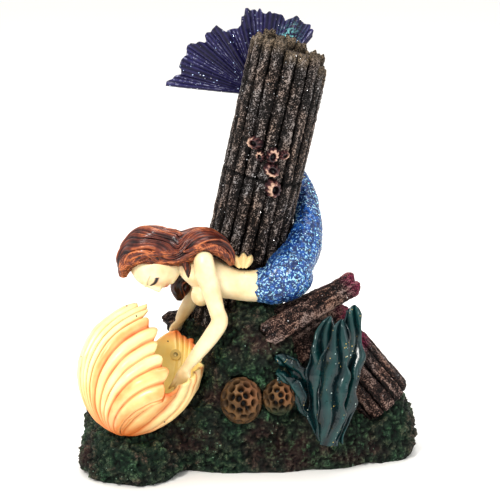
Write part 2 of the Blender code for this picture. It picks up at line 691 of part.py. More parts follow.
def build_air_line(rock_cutters):
    """The jet in the shell, and the tube that feeds it from the elbow."""
    at, inward = jet_place()
    back = at - inward * mm(4.5)
    jet = cylinder("bubble_jet", back, at + inward * (SHELL_WALL / 2 + mm(0.8)), JET_RADIUS,
                   PLASTIC, sides=16)
    bore = cylinder("jet_bore", back - inward * mm(1), at + inward * mm(4), JET_BORE_RADIUS,
                    None, sides=12, group=cutters)
    cut_by(jet, bore)

    end = back - inward * FIT_GAP * 2.5
    start = Vector((ELBOW_AXIS.x, STUB_INNER_Y - FIT_GAP, ELBOW_AXIS.z))
    route = (start, start + mm(0.0, -5.0, 0.6), start + mm(0.2, -8.6, 3.6),
             end - inward * mm(5.0) + mm(0, 2.4, -6.5), end - inward * mm(3.0), end)
    points = spline([Vector(p) for p in route], 4)
    tube = tube_mesh("air_tube", points, TUBE_OUTER_RADIUS, CLEAR)
    bored = [points[0] * 2 - points[1]] + points + [points[-1] * 2 - points[-2]]
    boolean(tube, tube_mesh("air_tube_bore", bored, TUBE_BORE_RADIUS, None, cutters),
            "DIFFERENCE")
    make_real(tube)
    rock_cutters.append(tube_mesh("tube_channel", [points[0] * 2 - points[1]] + points,
                                  TUBE_OUTER_RADIUS + mm(0.6), None, cutters))
    return jet, tube


# ---- the rock --------------------------------------------------------------
def rock_boulders():
    """Centre and radii of the lumps that make up the rock, in millimetres."""
    return (
        ((-43.5, -11, 5), (21.5, 25, 16)), ((-40, 12, 8), (25, 23, 19)),
        ((3, -3, 33), (21, 18, 34)), ((-3, 18, 33), (27, 21, 33)),
        ((-16, -2, 14), (24, 21, 20)), ((20, 15, 22), (24, 22, 30)),
        ((30, -3, 8), (22, 17, 18)), ((47, 9, 8), (22, 20, 20)),
        ((55, 5, 6), (14, 16, 22)), ((2, 6, 2), (58, 28, 12)),
        ((-25, 9, 26), (10.5, 9.5, 13)))


def build_rock(fittings, rock_cutters, post_hole):
    bm = bmesh.new()
    for centre, radii in rock_boulders():
        bmesh.ops.create_icosphere(bm, subdivisions=3, radius=1.0, matrix=(
            Matrix.Translation(mm(*centre)) @ Matrix.Diagonal((*mm(*radii), 1.0))))
    rock = from_bmesh("base_rock", bm, ROCK)
    fused = rock.modifiers.new("fused", "REMESH")
    fused.mode = "VOXEL"
    fused.voxel_size = mm(2.6)
    lumps = bpy.data.textures.new("rock_lumps", "CLOUDS")
    lumps.noise_scale = mm(11.0)
    lumps.noise_depth = 2
    rough = rock.modifiers.new("rough", "DISPLACE")
    rough.texture = lumps
    rough.texture_coords = "GLOBAL"
    rough.strength = mm(5.0)
    thinned = rock.modifiers.new("thinned", "DECIMATE")
    thinned.ratio = 0.13
    make_real(rock)

    below = block("below_floor", Matrix.Translation(mm(0, 0, -50)), mm(300, 300, 100), None,
                  group=cutters)
    seat = cylinder("rear_seat", Vector((ELBOW_AXIS.x, REAR_SEAT_Y, ELBOW_AXIS.z)),
                    Vector((ELBOW_AXIS.x, REAR_SEAT_Y + mm(30), ELBOW_AXIS.z)),
                    ELBOW_ARM + mm(6.0), None, group=cutters)
    hole = cylinder("grommet_hole", Vector((ELBOW_AXIS.x, STUB_INNER_Y - mm(6), ELBOW_AXIS.z)),
                    Vector((ELBOW_AXIS.x, REAR_SEAT_Y + mm(6), ELBOW_AXIS.z)),
                    GROMMET_RADIUS + FIT_GAP, None, group=cutters)
    pocket_middle = Vector((ELBOW_AXIS.x, STUB_INNER_Y + mm(2) - POCKET_SIZE.y / 2,
                            POCKET_SIZE.z / 2 - mm(1)))
    pocket = block("tube_pocket", Matrix.Translation(pocket_middle), POCKET_SIZE, None,
                   group=cutters)
    cut_by(rock, below, seat, hole, pocket, post_hole, *rock_cutters, *fittings)
    return rock


# ---- assembly --------------------------------------------------------------
post_hole = build_post()
build_barnacles()
upper_valve, lower_valve = build_shell()
torso = build_torso()
head = build_head()
left_arm, right_arm = build_arms()
hair, lock = build_hair()
bow = build_bow()
tail = build_tail()
build_fin()
sponges = build_sponges()
fronds = build_kelp()
timber = build_timber()
elbow = build_elbow()
grommet = build_grommet()
channels = []
jet, tube = build_air_line(channels)

cut_by(upper_valve, head, hair)
cut_by(torso, head)
cut_by(tail, torso)
cut_by(bow, torso)
cut_by(left_arm, torso)
cut_by(right_arm, torso)
cut_by(hair, head, torso, left_arm, right_arm, bow)
cut_by(lock, hair, torso, right_arm)
cut_by(lower_valve, jet, left_arm, right_arm, tube)
front, back, board, log, *wreck = timber
cut_by(back, front, tail, torso)
cut_by(board, front, back)
channels.append(clearance_of(log))      # the log's whole round, however much the post takes
cut_by(log, post_hole, right_arm)
for piece in (front, back, board, *wreck):
    cut_by(piece, *fronds)
for piece in wreck:
    cut_by(piece, front, back, board, tail)
for sponge in sponges:
    cut_by(sponge, fronds[4], fronds[5])
fittings = [upper_valve, lower_valve, torso, left_arm, right_arm, tail, *sponges, *fronds,
            front, back, board, *wreck, jet]
build_rock(fittings, channels, post_hole)
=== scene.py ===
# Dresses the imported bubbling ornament: a mermaid on a rock, an open clam shell and a leaning post.
# Shapes are worked out in millimetres and put into the meshes in metres, in the packed
# model's frame.
import math

import bmesh
import bpy
import numpy as np
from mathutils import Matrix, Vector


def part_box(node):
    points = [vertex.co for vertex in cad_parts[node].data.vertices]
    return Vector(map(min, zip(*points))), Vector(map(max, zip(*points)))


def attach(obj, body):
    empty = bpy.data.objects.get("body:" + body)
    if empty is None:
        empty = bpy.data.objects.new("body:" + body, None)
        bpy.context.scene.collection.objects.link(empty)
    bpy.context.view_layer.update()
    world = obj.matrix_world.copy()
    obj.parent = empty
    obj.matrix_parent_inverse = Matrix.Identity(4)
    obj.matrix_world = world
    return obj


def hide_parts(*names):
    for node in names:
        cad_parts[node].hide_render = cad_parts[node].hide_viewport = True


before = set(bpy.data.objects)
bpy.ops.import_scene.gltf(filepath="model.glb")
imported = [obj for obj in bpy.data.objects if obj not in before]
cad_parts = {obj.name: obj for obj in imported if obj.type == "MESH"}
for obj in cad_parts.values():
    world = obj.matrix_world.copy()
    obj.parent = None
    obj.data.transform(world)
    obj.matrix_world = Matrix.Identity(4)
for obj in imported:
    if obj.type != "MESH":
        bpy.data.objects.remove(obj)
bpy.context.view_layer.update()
print("frame loaded")


def nodePoints(name):
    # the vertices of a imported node, in millimetres
    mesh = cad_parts[name].data
    found = np.empty(len(mesh.vertices) * 3)
    mesh.vertices.foreach_get("co", found)
    return found.reshape(-1, 3) * 1000


def nodeBox(name):
    low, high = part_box(name)
    return np.array(low) * 1000, np.array(high) * 1000


def seatOn(points, name, proud=0.0):
    # each axis is scaled and shifted so that the points fill the node's box, grown by proud
    low, high = nodeBox(name)
    own = points.min(0)
    return low - proud + (points - own) * (high - low + 2 * proud) / (points.max(0) - own)


def longAxis(name):
    # the line through a long node: its foot, its unit direction (upwards) and its length
    points = nodePoints(name)
    middle = (points.min(0) + points.max(0)) / 2
    direction = np.linalg.svd(points - points.mean(0))[2][0]
    direction *= np.sign(direction[2])
    along = (points - middle) @ direction
    reach = (along.max() - along.min()) / 2
    return middle - direction * reach, direction, 2 * reach


def hashed(cells, seed):
    # a fixed random number from 0 to 1 for each whole-numbered cell
    mixed = (cells[..., 0] * 374761393 + cells[..., 1] * 668265263
             + cells[..., 2] * 2147483647 + seed * 974634777)
    mixed = (mixed ^ (mixed >> 13)) * 1274126177
    return ((mixed ^ (mixed >> 16)) & 0xFFFFFF) / 0xFFFFFF


def smoothNoise(points, seed=0):
    # the cell corners' random numbers blended by smoothstep weights, from -1 to 1
    base = np.floor(points).astype(np.int64)
    part = eased(points - base)
    total = 0.0
    for corner in np.ndindex(2, 2, 2):
        weight = np.where(np.array(corner), part, 1 - part).prod(-1)
        total = total + weight * hashed(base + np.array(corner), seed)
    return total * 2 - 1


def layeredNoise(points, layers=3, seed=0):
    # noise plus the same at twice the pitch and half the height, and so on
    return sum(smoothNoise(points * 2 ** k, seed + k) / 2 ** k for k in range(layers))


def pebbles(points, seed=0):
    # the distance to the nearest of one scattered point in each cell, 0 at a pebble's top
    base = np.floor(points).astype(np.int64)
    nearest = np.full(points.shape[:-1], 9.0)
    for corner in np.ndindex(3, 3, 3):
        cell = base + np.array(corner) - 1
        spot = cell + np.stack([hashed(cell, seed + k) for k in range(3)], -1)
        nearest = np.minimum(nearest, ((spot - points) ** 2).sum(-1))
    return np.sqrt(nearest)


def bump(x, width):
    # a bell curve, 1 at x = 0
    return np.exp(-(x / width) ** 2)


def eased(x):
    # smoothstep, for x from 0 to 1
    return x * x * (3 - 2 * x)


def circle(count):
    # even angles round a ring
    return np.linspace(0, 2 * np.pi, count, endpoint=False)


def steps(count):
    # even steps from 0 to 1, one to a row
    return np.linspace(0, 1, count)[:, None]


def throughRows(rows, count):
    # each column is a smooth cubic through the rows (Catmull-Rom), read at count even steps
    rows = np.array(rows, float)
    at = np.linspace(0, len(rows) - 1, count)
    i = np.minimum(at.astype(int), len(rows) - 2)
    t = (at - i)[:, None]
    a, b = rows[np.maximum(i - 1, 0)], rows[i]
    c, d = rows[i + 1], rows[np.minimum(i + 2, len(rows) - 1)]
    return 0.5 * (2 * b + (c - a) * t + (2 * a - 5 * b + 4 * c - d) * t ** 2
                  + (3 * b - a - 3 * c + d) * t ** 3)


def unit(vectors):
    return vectors / np.maximum(np.linalg.norm(vectors, axis=-1, keepdims=True), 1e-9)


def carried(path, side, x, y):
    # each ring lies across the path: x along side and y along the cross of the path and x
    along = unit(np.gradient(path, axis=0))
    side = np.broadcast_to(np.array(side, float), path.shape)
    across = unit(side - along * (side * along).sum(-1, keepdims=True))
    up = np.cross(along, across)
    return path[:, None] + across[:, None] * x[..., None] + up[:, None] * y[..., None]


def tubeFaces(rings, around):
    # quads between neighbouring rings, and a fan to a middle point at each end
    i, k = np.meshgrid(np.arange(rings - 1), np.arange(around), indexing="ij")
    after = (k + 1) % around
    quads = np.stack([i * around + k, i * around + after, (i + 1) * around + after,
                      (i + 1) * around + k], -1).reshape(-1, 4)
    ring = np.arange(around)
    first = np.full(around, rings * around)
    low = np.stack([first, (ring + 1) % around, ring], -1)
    top = (rings - 1) * around
    high = np.stack([first + 1, top + ring, top + (ring + 1) % around], -1)
    return quads.tolist() + low.tolist() + high.tolist()


def closedTube(rings):
    # a tube's points with its two end middles, and its faces
    points = np.concatenate([rings.reshape(-1, 3), rings[:1].mean(1), rings[-1:].mean(1)])
    return points, tubeFaces(*rings.shape[:2])


def onTube(values, first=0.0, last=0.0):
    # a mark's values on a tube's points, then on its two end middles
    return np.append(values.ravel(), [first, last])


def ovals(rows, turn, grow=1):
    # an oval carried along rows of a middle and two half widths
    return carried(rows[:, :3], (0, 1, 0), rows[:, 3:4] * grow * np.cos(turn),
                   rows[:, 4:5] * grow * np.sin(turn))


def closedSheet(front, back):
    # two faces of a sheet, point for point, joined round their edge
    n, m = front.shape[:2]
    at = np.arange(n * m).reshape(n, m)
    cells = np.stack([at[:-1, :-1], at[1:, :-1], at[1:, 1:], at[:-1, 1:]], -1).reshape(-1, 4)
    edge = np.concatenate([at[:, 0], at[-1, 1:], at[-2::-1, -1], at[0, -2:0:-1]])
    after = np.roll(edge, -1)
    rim = np.stack([edge, edge + n * m, after + n * m, after], -1)
    faces = np.concatenate([cells, cells[:, ::-1] + n * m, rim])
    return np.concatenate([front.reshape(-1, 3), back.reshape(-1, 3)]), faces.tolist()


def normalTo(sheet):
    across, down = np.gradient(sheet, axis=(0, 1))
    return unit(np.cross(across, down))


def thickened(sheet, wall):
    # a sheet moved by the wall to each side along its normals, and closed
    reach = normalTo(sheet) * wall[..., None]
    return closedSheet(sheet + reach, sheet - reach)


def joined(parts):
    # several (points, faces) as one
    points, faces, start = [], [], 0
    for some, theirs in parts:
        points.append(some)
        faces += [[v + start for v in face] for face in theirs]
        start += len(some)
    return np.concatenate(points), faces


def meshOf(name, points, faces):
    mesh = bpy.data.meshes.new(name)
    mesh.from_pydata((points / 1000).tolist(), [], faces)
    work = bmesh.new()
    work.from_mesh(mesh)
    bmesh.ops.recalc_face_normals(work, faces=work.faces)
    if work.calc_volume(signed=True) < 0:
        bmesh.ops.reverse_faces(work, faces=work.faces)
    work.to_mesh(mesh)
    work.free()
    mesh.shade_smooth()
    return mesh


def addPiece(name, mesh, finish, slotName, stands=(), body="ornament", **marks):
    # a shown piece: marks are numbers from 0 to 1 on its vertices that its finish reads
    for key, values in marks.items():
        made = mesh.attributes.new(key, "FLOAT", "POINT")
        made.data.foreach_set("value", np.asarray(values, np.float32).ravel())
    mesh.materials.append(finish)
    piece = bpy.data.objects.new(name, mesh)
    bpy.context.scene.collection.objects.link(piece)
    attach(piece, body)
    if stands:
        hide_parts(*stands)
    return piece


def fused(name, points, faces, grain, rounds):
    # overlapping closed surfaces melted into one skin of square cells, then smoothed
    mesh = meshOf(name, points, faces)
    holder = bpy.data.objects.new(name, mesh)
    bpy.context.scene.collection.objects.link(holder)
    melt = holder.modifiers.new("melt", "REMESH")
    melt.mode = "VOXEL"
    melt.voxel_size = grain / 1000
    if rounds:
        ease = holder.modifiers.new("ease", "SMOOTH")
        ease.iterations = rounds
        ease.factor = 0.5
    graph = bpy.context.evaluated_depsgraph_get()
    graph.update()
    made = bpy.data.meshes.new_from_object(holder.evaluated_get(graph))
    bpy.data.objects.remove(holder)
    made.shade_smooth()
    return made


def pointsOf(mesh):
    found = np.empty(len(mesh.vertices) * 3)
    mesh.vertices.foreach_get("co", found)
    return found.reshape(-1, 3) * 1000


def normalsOf(mesh):
    found = np.empty(len(mesh.vertices) * 3)
    mesh.vertex_normals.foreach_get("vector", found)
    return found.reshape(-1, 3)


def movePoints(mesh, points):
    mesh.vertices.foreach_set("co", (points / 1000).ravel())
    mesh.update()


class Finish:
    # a painted surface: a Principled material and short ways to add nodes to it

    def __init__(self, name, roughness, specular=0.5, coat=0.0):
        self.made = bpy.data.materials.new(name)
        self.made.use_nodes = True
        self.tree = self.made.node_tree
        self.shader = self.tree.nodes["Principled BSDF"]
        for socket, value in (("Roughness", roughness), ("Specular IOR Level", specular),
                              ("Coat Weight", coat), ("Coat Roughness", 0.15)):
            self.shader.inputs[socket].default_value = value
        self.place = self.add("TexCoord").outputs["Object"]

    def set(self, socket, value):
        if isinstance(value, bpy.types.NodeSocket):
            self.tree.links.new(value, socket)
        elif isinstance(value, tuple) and len(socket.default_value) == 4:
            socket.default_value = (*value, 1.0) if len(value) == 3 else value
        else:
            socket.default_value = value

    def add(self, kind, settings=None, **sockets):
        node = self.tree.nodes.new("ShaderNode" + kind)
        for key, value in (settings or {}).items():
            setattr(node, key, value)
        for key, value in sockets.items():
            self.set(node.inputs[key], value)
        return node

    def mark(self, name):
        return self.add("Attribute", {"attribute_name": name}).outputs["Fac"]

    def noise(self, size, detail=4.0, rough=0.55):
        # size is the pattern's pitch in millimetres
        return self.add("TexNoise", Vector=self.place, Scale=1000.0 / size, Detail=detail,
                        Roughness=rough).outputs["Fac"]

    def ramp(self, value, *stops):
        node = self.add("ValToRGB", Fac=value)
        bar = node.color_ramp.elements
        while len(bar) < len(stops):
            bar.new(0.5)
        for element, (at, colour) in zip(bar, stops):
            element.position = at
            element.color = (*colour, 1.0) if isinstance(colour, tuple) else (colour,) * 3 + (1,)
        return node.outputs["Color"]

    def sum(self, operation, a, b, clamp=False):
        node = self.add("Math", {"operation": operation, "use_clamp": clamp})
        self.set(node.inputs[0], a)
        self.set(node.inputs[1], b)
        return node.outputs[0]

    def uneven(self, value, noise, amount):
        # a value raised and lowered by an amount of a noise
        return self.sum("ADD", value, self.sum(
            "MULTIPLY", self.sum("SUBTRACT", noise, 0.5), amount))

    def mix(self, share, a, b, blend="MIX"):
        node = self.add("Mix", {"data_type": "RGBA", "blend_type": blend})
        for index, value in ((0, share), (6, a), (7, b)):
            self.set(node.inputs[index], value)
        return node.outputs[2]

    def vector(self, operation, *values):
        node = self.add("VectorMath", {"operation": operation})
        for socket, value in zip(node.inputs, values):
            self.set(socket, value)
        return node.outputs["Value" if operation == "LENGTH" else "Vector"]

    def spots(self, size, radius, share):
        # in a share of small cells, a round spot whose radius is a part of the cell's size
        cells = self.add("TexVoronoi", Vector=self.place, Scale=1000.0 / size)
        parts = self.add("SeparateColor", Color=cells.outputs["Color"])
        shown = self.sum("MULTIPLY", self.sum("LESS_THAN", parts.outputs[0], share),
                         self.sum("LESS_THAN", cells.outputs["Distance"], radius))
        return shown, parts.outputs[1], cells.outputs["Color"]

    def flakes(self, size, share, tilt=0.9):
        # glitter: each spot is a flake that lies at an angle of its own, the normal plus the
        # cell's random colour spread evenly about zero
        shown, hue, colour = self.spots(size, 0.46, share)
        spread = self.vector("MULTIPLY_ADD", colour, (tilt * 2,) * 3, (-tilt,) * 3)
        leaned = self.vector("ADD", self.add("NewGeometry").outputs["Normal"], spread)
        return shown, hue, self.vector("NORMALIZE", leaned)

    def finish(self, colour, height, depth, strength, flakes=None):
        # height is a bump of that depth in millimetres; flakes is what flakes() returned
        self.set(self.shader.inputs["Base Color"], colour)
        facing = self.add("Bump", Height=height, Distance=depth / 1000,
                          Strength=strength).outputs["Normal"]
        if flakes:
            shown, _, leaned = flakes
            both = self.add("Mix", {"data_type": "VECTOR"})
            for index, value in ((0, shown), (4, facing), (5, leaned)):
                self.set(both.inputs[index], value)
            facing = both.outputs[1]
            self.set(self.shader.inputs["Metallic"], shown)
            rough = self.shader.inputs["Roughness"]
            self.set(rough, self.mix(shown, (rough.default_value,) * 3, (0.22,) * 3))
        self.set(self.shader.inputs["Normal"], facing)
        return self.made


def rockFinish():
    f = Finish("variegatedRockPaint", 0.46, specular=0.22)
    relief = f.mark("relief")
    ground = f.ramp(f.noise(16.0, 3.0), (0.42, (0.006, 0.022, 0.012)),
                    (0.53, (0.010, 0.016, 0.011)), (0.64, (0.024, 0.011, 0.010)))
    tops = f.ramp(f.noise(8.0, 2.0), (0.36, (0.072, 0.160, 0.080)), (0.50, (0.090, 0.120, 0.070)),
                  (0.66, (0.135, 0.090, 0.070)))
    lit = f.sum("MULTIPLY", f.ramp(relief, (0.44, 0.0), (0.80, 1.0)),
                f.ramp(f.noise(0.8, 3.0), (0.44, 0.05), (0.60, 1.0)))
    colour = f.mix(lit, ground, tops)
    colour = f.mix(f.ramp(relief, (0.16, 1.0), (0.44, 0.0)), colour, (0.0015, 0.002, 0.002))
    flakes = f.flakes(0.55, 0.035)
    colour = f.mix(flakes[0], colour, (0.24, 0.36, 0.28))
    return f.finish(colour, f.noise(1.1, 5.0, rough=0.7), 0.75, 1.0, flakes)


def shellFinish():
    f = Finish("creamOrangeShellPaint", 0.36, coat=0.15)
    rib, toRim, inside = f.mark("rib"), f.mark("toRim"), f.mark("inside")
    wash = f.noise(11.0, 3.0)
    cream = f.ramp(wash, (0.35, (0.88, 0.66, 0.31)), (0.62, (0.93, 0.81, 0.46)))
    band = f.sum("ADD", f.sum("MULTIPLY", f.mark("tint"), 0.8), f.sum("SUBTRACT", wash, 0.5))
    colour = f.mix(f.ramp(band, (0.30, 0.0), (0.70, 0.90)), cream, (0.80, 0.32, 0.10))
    # painted shade: the grooves between the ribs are darkened in orange-brown
    deep = f.mix(1.0, colour, (0.66, 0.30, 0.14), "MULTIPLY")
    colour = f.mix(f.ramp(rib, (0.10, 1.0), (0.62, 0.0)), colour, deep)
    beak = f.ramp(f.sum("ADD", toRim, f.sum("MULTIPLY", wash, 0.16)), (0.16, 0.95), (0.56, 0.0))
    colour = f.mix(beak, colour, (0.66, 0.17, 0.03))
    lining = f.ramp(f.noise(14.0, 3.0), (0.36, (0.90, 0.67, 0.22)), (0.62, (0.96, 0.82, 0.38)))
    colour = f.mix(inside, colour, lining)
    colour = f.mix(f.mark("edge"), colour, (0.74, 0.20, 0.05))
    colour = f.mix(f.spots(5.2, 0.065, 0.35)[0], colour, (0.02, 0.012, 0.01))
    return f.finish(colour, f.noise(1.6, 3.0), 0.12, 0.35)


def skinFinish():
    f = Finish("paleSkinPaint", 0.38, coat=0.1)
    f.shader.inputs["Subsurface Weight"].default_value = 0.08
    f.shader.inputs["Subsurface Scale"].default_value = 0.002
    colour = f.ramp(f.noise(7.0, 3.0), (0.34, (0.71, 0.56, 0.33)), (0.62, (0.82, 0.71, 0.48)))
    colour = f.mix(f.mark("blush"), colour, (0.70, 0.26, 0.14))
    colour = f.mix(f.mark("lip"), colour, (0.48, 0.10, 0.08))
    colour = f.mix(f.mark("line"), colour, (0.012, 0.008, 0.016))
    colour = f.mix(f.mark("cloth"), colour, (0.66, 0.48, 0.20))
    colour = f.mix(f.spots(4.6, 0.05, 0.35)[0], colour, (0.10, 0.07, 0.04))
    return f.finish(colour, f.noise(1.3, 3.0), 0.06, 0.3)


def hairFinish():
    f = Finish("redBrownHairPaint", 0.30, specular=0.4, coat=0.3)
    level = f.uneven(f.mark("ridge"), f.noise(4.0, 3.0), 0.9)
    colour = f.ramp(level, (0.32, (0.014, 0.003, 0.004)), (0.54, (0.075, 0.014, 0.009)),
                    (0.76, (0.170, 0.036, 0.016)), (1.0, (0.480, 0.160, 0.058)))
    return f.finish(colour, f.noise(0.7, 3.0), 0.12, 0.5)


def tailFinish():
    f = Finish("glitterBluePaint", 0.30, coat=0.3)
    relief = f.mark("relief")
    wash = f.noise(6.0, 4.0)
    colour = f.ramp(wash, (0.36, (0.003, 0.035, 0.17)), (0.60, (0.008, 0.095, 0.36)))
    colour = f.mix(f.ramp(relief, (0.30, 0.75), (0.60, 0.0)), colour, (0.001, 0.010, 0.050))
    patches = f.ramp(f.noise(9.0, 3.0), (0.40, 0.0), (0.66, 1.0))
    level = f.uneven(f.sum("ADD", f.noise(0.75, 2.0), f.sum("MULTIPLY", patches, 0.07)),
                     relief, 0.16)
    white = f.ramp(level, (0.60, 0.0), (0.64, 1.0))
    flakes = f.flakes(0.55, 0.10)
    tint = f.ramp(flakes[1], (0.30, (0.20, 0.66, 0.80)), (0.60, (0.80, 0.86, 0.80)),
                  (0.90, (0.84, 0.80, 0.42)))
    colour = f.mix(white, colour, (0.34, 0.58, 0.70))
    colour = f.mix(flakes[0], colour, tint)
    return f.finish(colour, f.noise(0.8, 3.0), 0.22, 0.8, flakes)


def finFinish():
    f = Finish("glitterVioletPaint", 0.34, specular=0.30, coat=0.1)
    ridge = f.mark("ridge")
    level = f.uneven(ridge, f.noise(7.0, 3.0), 0.5)
    colour = f.ramp(level, (0.10, (0.003, 0.003, 0.014)), (0.55, (0.013, 0.011, 0.055)),
                    (0.95, (0.040, 0.036, 0.130)))
    # painted highlight: pale streaks on the ridge crests
    paintedRidgeHighlight = f.sum("MULTIPLY", f.ramp(ridge, (0.72, 0.0), (0.95, 0.8)),
                 f.ramp(f.noise(1.2, 3.0), (0.52, 0.0), (0.62, 1.0)))
    colour = f.mix(paintedRidgeHighlight, colour, (0.34, 0.35, 0.48))
    flakes = f.flakes(0.6, 0.06)
    tint = f.ramp(flakes[1], (0.35, (0.45, 0.58, 0.80)), (0.75, (0.90, 0.90, 0.95)))
    colour = f.mix(flakes[0], colour, tint)
    patch = f.sum("MULTIPLY", f.mark("teal"), f.ramp(f.noise(0.9, 2.0), (0.48, 0.0), (0.60, 1.0)))
    colour = f.mix(patch, colour, (0.30, 0.78, 0.78))
    return f.finish(colour, f.noise(0.9, 3.0), 0.12, 0.5, flakes)


def woodFinish(name, dark, middle, pale, redEnd=None):
    # black in the gaps between staves as painted shade, a dark face, and fine pale specks
    # where a dry brush touched it
    f = Finish(name, 0.50, specular=0.18)
    relief = f.mark("relief")
    fine = f.noise(0.50, 3.0)
    level = f.uneven(relief, fine, 2.1)
    colour = f.ramp(level, (0.24, (0.0010, 0.0008, 0.0008)), (0.42, dark), (0.60, middle),
                    (0.84, pale))
    hue = f.ramp(f.noise(13.0, 3.0), (0.36, (1.15, 0.92, 0.80)), (0.64, (0.84, 0.95, 1.12)))
    colour = f.mix(0.7, colour, hue, "MULTIPLY")
    if redEnd:
        colour = f.mix(f.sum("MULTIPLY", f.mark("ragged"),
                             f.ramp(fine, (0.40, 0.0), (0.60, 1.0))), colour, redEnd)
    flakes = f.flakes(0.55, 0.015)
    colour = f.mix(flakes[0], colour, (0.60, 0.60, 0.62))
    return f.finish(colour, fine, 0.30, 0.9, flakes)


def kelpFinish():
    f = Finish("glossTealPaint", 0.20, specular=0.45, coat=0.3)
    level = f.uneven(f.mark("ridge"), f.noise(8.0, 3.0), 0.7)
    colour = f.ramp(level, (0.20, (0.001, 0.006, 0.009)), (0.50, (0.002, 0.022, 0.026)),
                    (0.92, (0.005, 0.050, 0.050)))
    flakes = f.flakes(0.5, 0.05, 0.5)
    gold = f.ramp(flakes[1], (0.40, (0.75, 0.56, 0.18)), (0.70, (0.60, 0.75, 0.78)))
    patch = f.ramp(f.noise(7.0, 2.0), (0.50, 0.0), (0.56, 1.0))
    colour = f.mix(f.sum("MULTIPLY", flakes[0], patch), colour, gold)
    return f.finish(colour, f.noise(2.4, 3.0), 0.35, 0.7, flakes)


def spongeFinish():
    f = Finish("bronzeSpongePaint", 0.46, specular=0.25)
    web = f.ramp(f.noise(5.0, 2.0), (0.36, (0.050, 0.028, 0.012)), (0.62, (0.155, 0.086, 0.036)))
    # painted highlight: lighter towards the top right of each sponge
    web = f.mix(f.mark("blush"), web, (0.26, 0.12, 0.06))
    # darker green towards the bottom of the small sponge
    web = f.mix(f.mark("mossy"), web, (0.020, 0.045, 0.022))
    # painted shade: the holes' floors are painted almost black, standing in for deep holes
    colour = f.mix(f.mark("hole"), web, (0.003, 0.0015, 0.0015))
    return f.finish(colour, f.noise(0.7, 3.0), 0.15, 0.6)


def barnacleFinish():
    f = Finish("roseBarnaclePaint", 0.40, coat=0.15)
    # the ridge mark holds the fluted ridges and a painted highlight on one side of the lip
    level = f.uneven(f.mark("ridge"), f.noise(0.9, 2.0), 0.9)
    colour = f.ramp(level, (0.20, (0.008, 0.003, 0.006)), (0.55, (0.060, 0.022, 0.026)),
                    (0.78, (0.200, 0.095, 0.085)), (0.98, (0.520, 0.360, 0.270)))
    colour = f.mix(f.mark("hole"), colour, (0.004, 0.002, 0.003))
    return f.finish(colour, f.noise(0.6, 2.0), 0.12, 0.5)


def mouldedColour(f, colour):
    # one colour, slightly uneven
    return f.ramp(f.noise(4.0, 3.0), (0.35, tuple(c * 0.82 for c in colour)), (0.65, colour))


def plainFinish(name, colour, roughness, grain, alpha=1.0):
    # moulded plastic or rubber with a fine moulded grain
    f = Finish(name, roughness)
    f.shader.inputs["Alpha"].default_value = alpha
    return f.finish(mouldedColour(f, colour), f.noise(grain, 3.0), 0.05, 0.4)


def boredFinish(name, node, colour):
    # plastic painted like the lining, and black in the bore as painted shade: nearer the node's long
    # axis than its innermost points are, by the length of the cross of the axis and the place
    f = Finish(name, 0.45, specular=0.25)
    foot, axis, _ = longAxis(node)
    points = nodePoints(node) - foot
    radius = np.linalg.norm(np.cross(points, axis), axis=1).min() + 0.06
    reach = f.vector("SUBTRACT", f.place, tuple(foot / 1000))
    away = f.vector("LENGTH", f.vector("CROSS_PRODUCT", reach, tuple(axis)))
    inBore = f.sum("LESS_THAN", away, radius / 1000)
    # painted shade: the bore is painted near black so that it reads as a dark hole
    paint = f.mix(inBore, mouldedColour(f, colour), (0.004, 0.003, 0.002))
    return f.finish(paint, f.noise(0.8, 3.0), 0.05, 0.4)


finishes = {
    "rock": rockFinish(), "shell": shellFinish(), "skin": skinFinish(), "hair": hairFinish(),
    "tail": tailFinish(), "fin": finFinish(), "kelp": kelpFinish(), "sponge": spongeFinish(),
    "barnacle": barnacleFinish(),
    "post": woodFinish("weatheredPostPaint", (0.007, 0.005, 0.004), (0.042, 0.031, 0.026),
                       (0.310, 0.275, 0.250), (0.22, 0.170, 0.120)),
    "wreck": woodFinish("wreckTimberPaint", (0.013, 0.006, 0.005), (0.062, 0.033, 0.027),
                        (0.290, 0.208, 0.168), (0.22, 0.018, 0.070)),
}
print("finishes mixed")


# rock
rockShape = {"cell": 0.66, "lump": 7.5, "lumpHeight": 0.8, "pebble": 2.7, "pebbleHeight": 1.3,
             "vein": 1.8, "veinHeight": 2.3, "grit": 1.0, "gritHeight": 0.9}


def makeRock(shape):
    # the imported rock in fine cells, pushed along its normals by lumps, pebbles, creases where
    # a noise crosses zero, and grit, with nothing moved where it stands on the floor
    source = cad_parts["base_rock"].data
    work = bmesh.new()
    work.from_mesh(source)
    bmesh.ops.remove_doubles(work, verts=work.verts, dist=1e-6)
    points = np.array([v.co[:] for v in work.verts]) * 1000
    faces = [[v.index for v in face.verts] for face in work.faces]
    work.free()
    mesh = fused("rock", points, faces, shape["cell"], 2)
    points, normals = pointsOf(mesh), normalsOf(mesh)
    lump = layeredNoise(points / shape["lump"], 2, 3)
    warped = points + 0.6 * np.stack([smoothNoise(points / 1.6, s) for s in (1, 2, 4)], -1)
    pebble = 0.62 - pebbles(warped / shape["pebble"], 20)
    vein = np.abs(smoothNoise(warped / shape["vein"], 70)) ** 0.6 - 0.48
    grit = 0.5 - pebbles(points / shape["grit"], 50)
    height = (lump * shape["lumpHeight"] + pebble * shape["pebbleHeight"]
              + vein * shape["veinHeight"] + grit * shape["gritHeight"])
    free = np.clip((points[:, 2] - 0.3) / 1.5, 0, 1)
    points = points + normals * (height * free)[:, None]
    points[:, 2] = np.maximum(points[:, 2], 0)
    movePoints(mesh, points)
    relief = np.clip(0.5 + pebble * 0.40 + vein * 0.65 + grit * 0.55, 0, 1)
    addPiece("rock", mesh, finishes["rock"], "painted_rock", ["base_rock"], relief=relief)


makeRock(rockShape)
print("rock done")


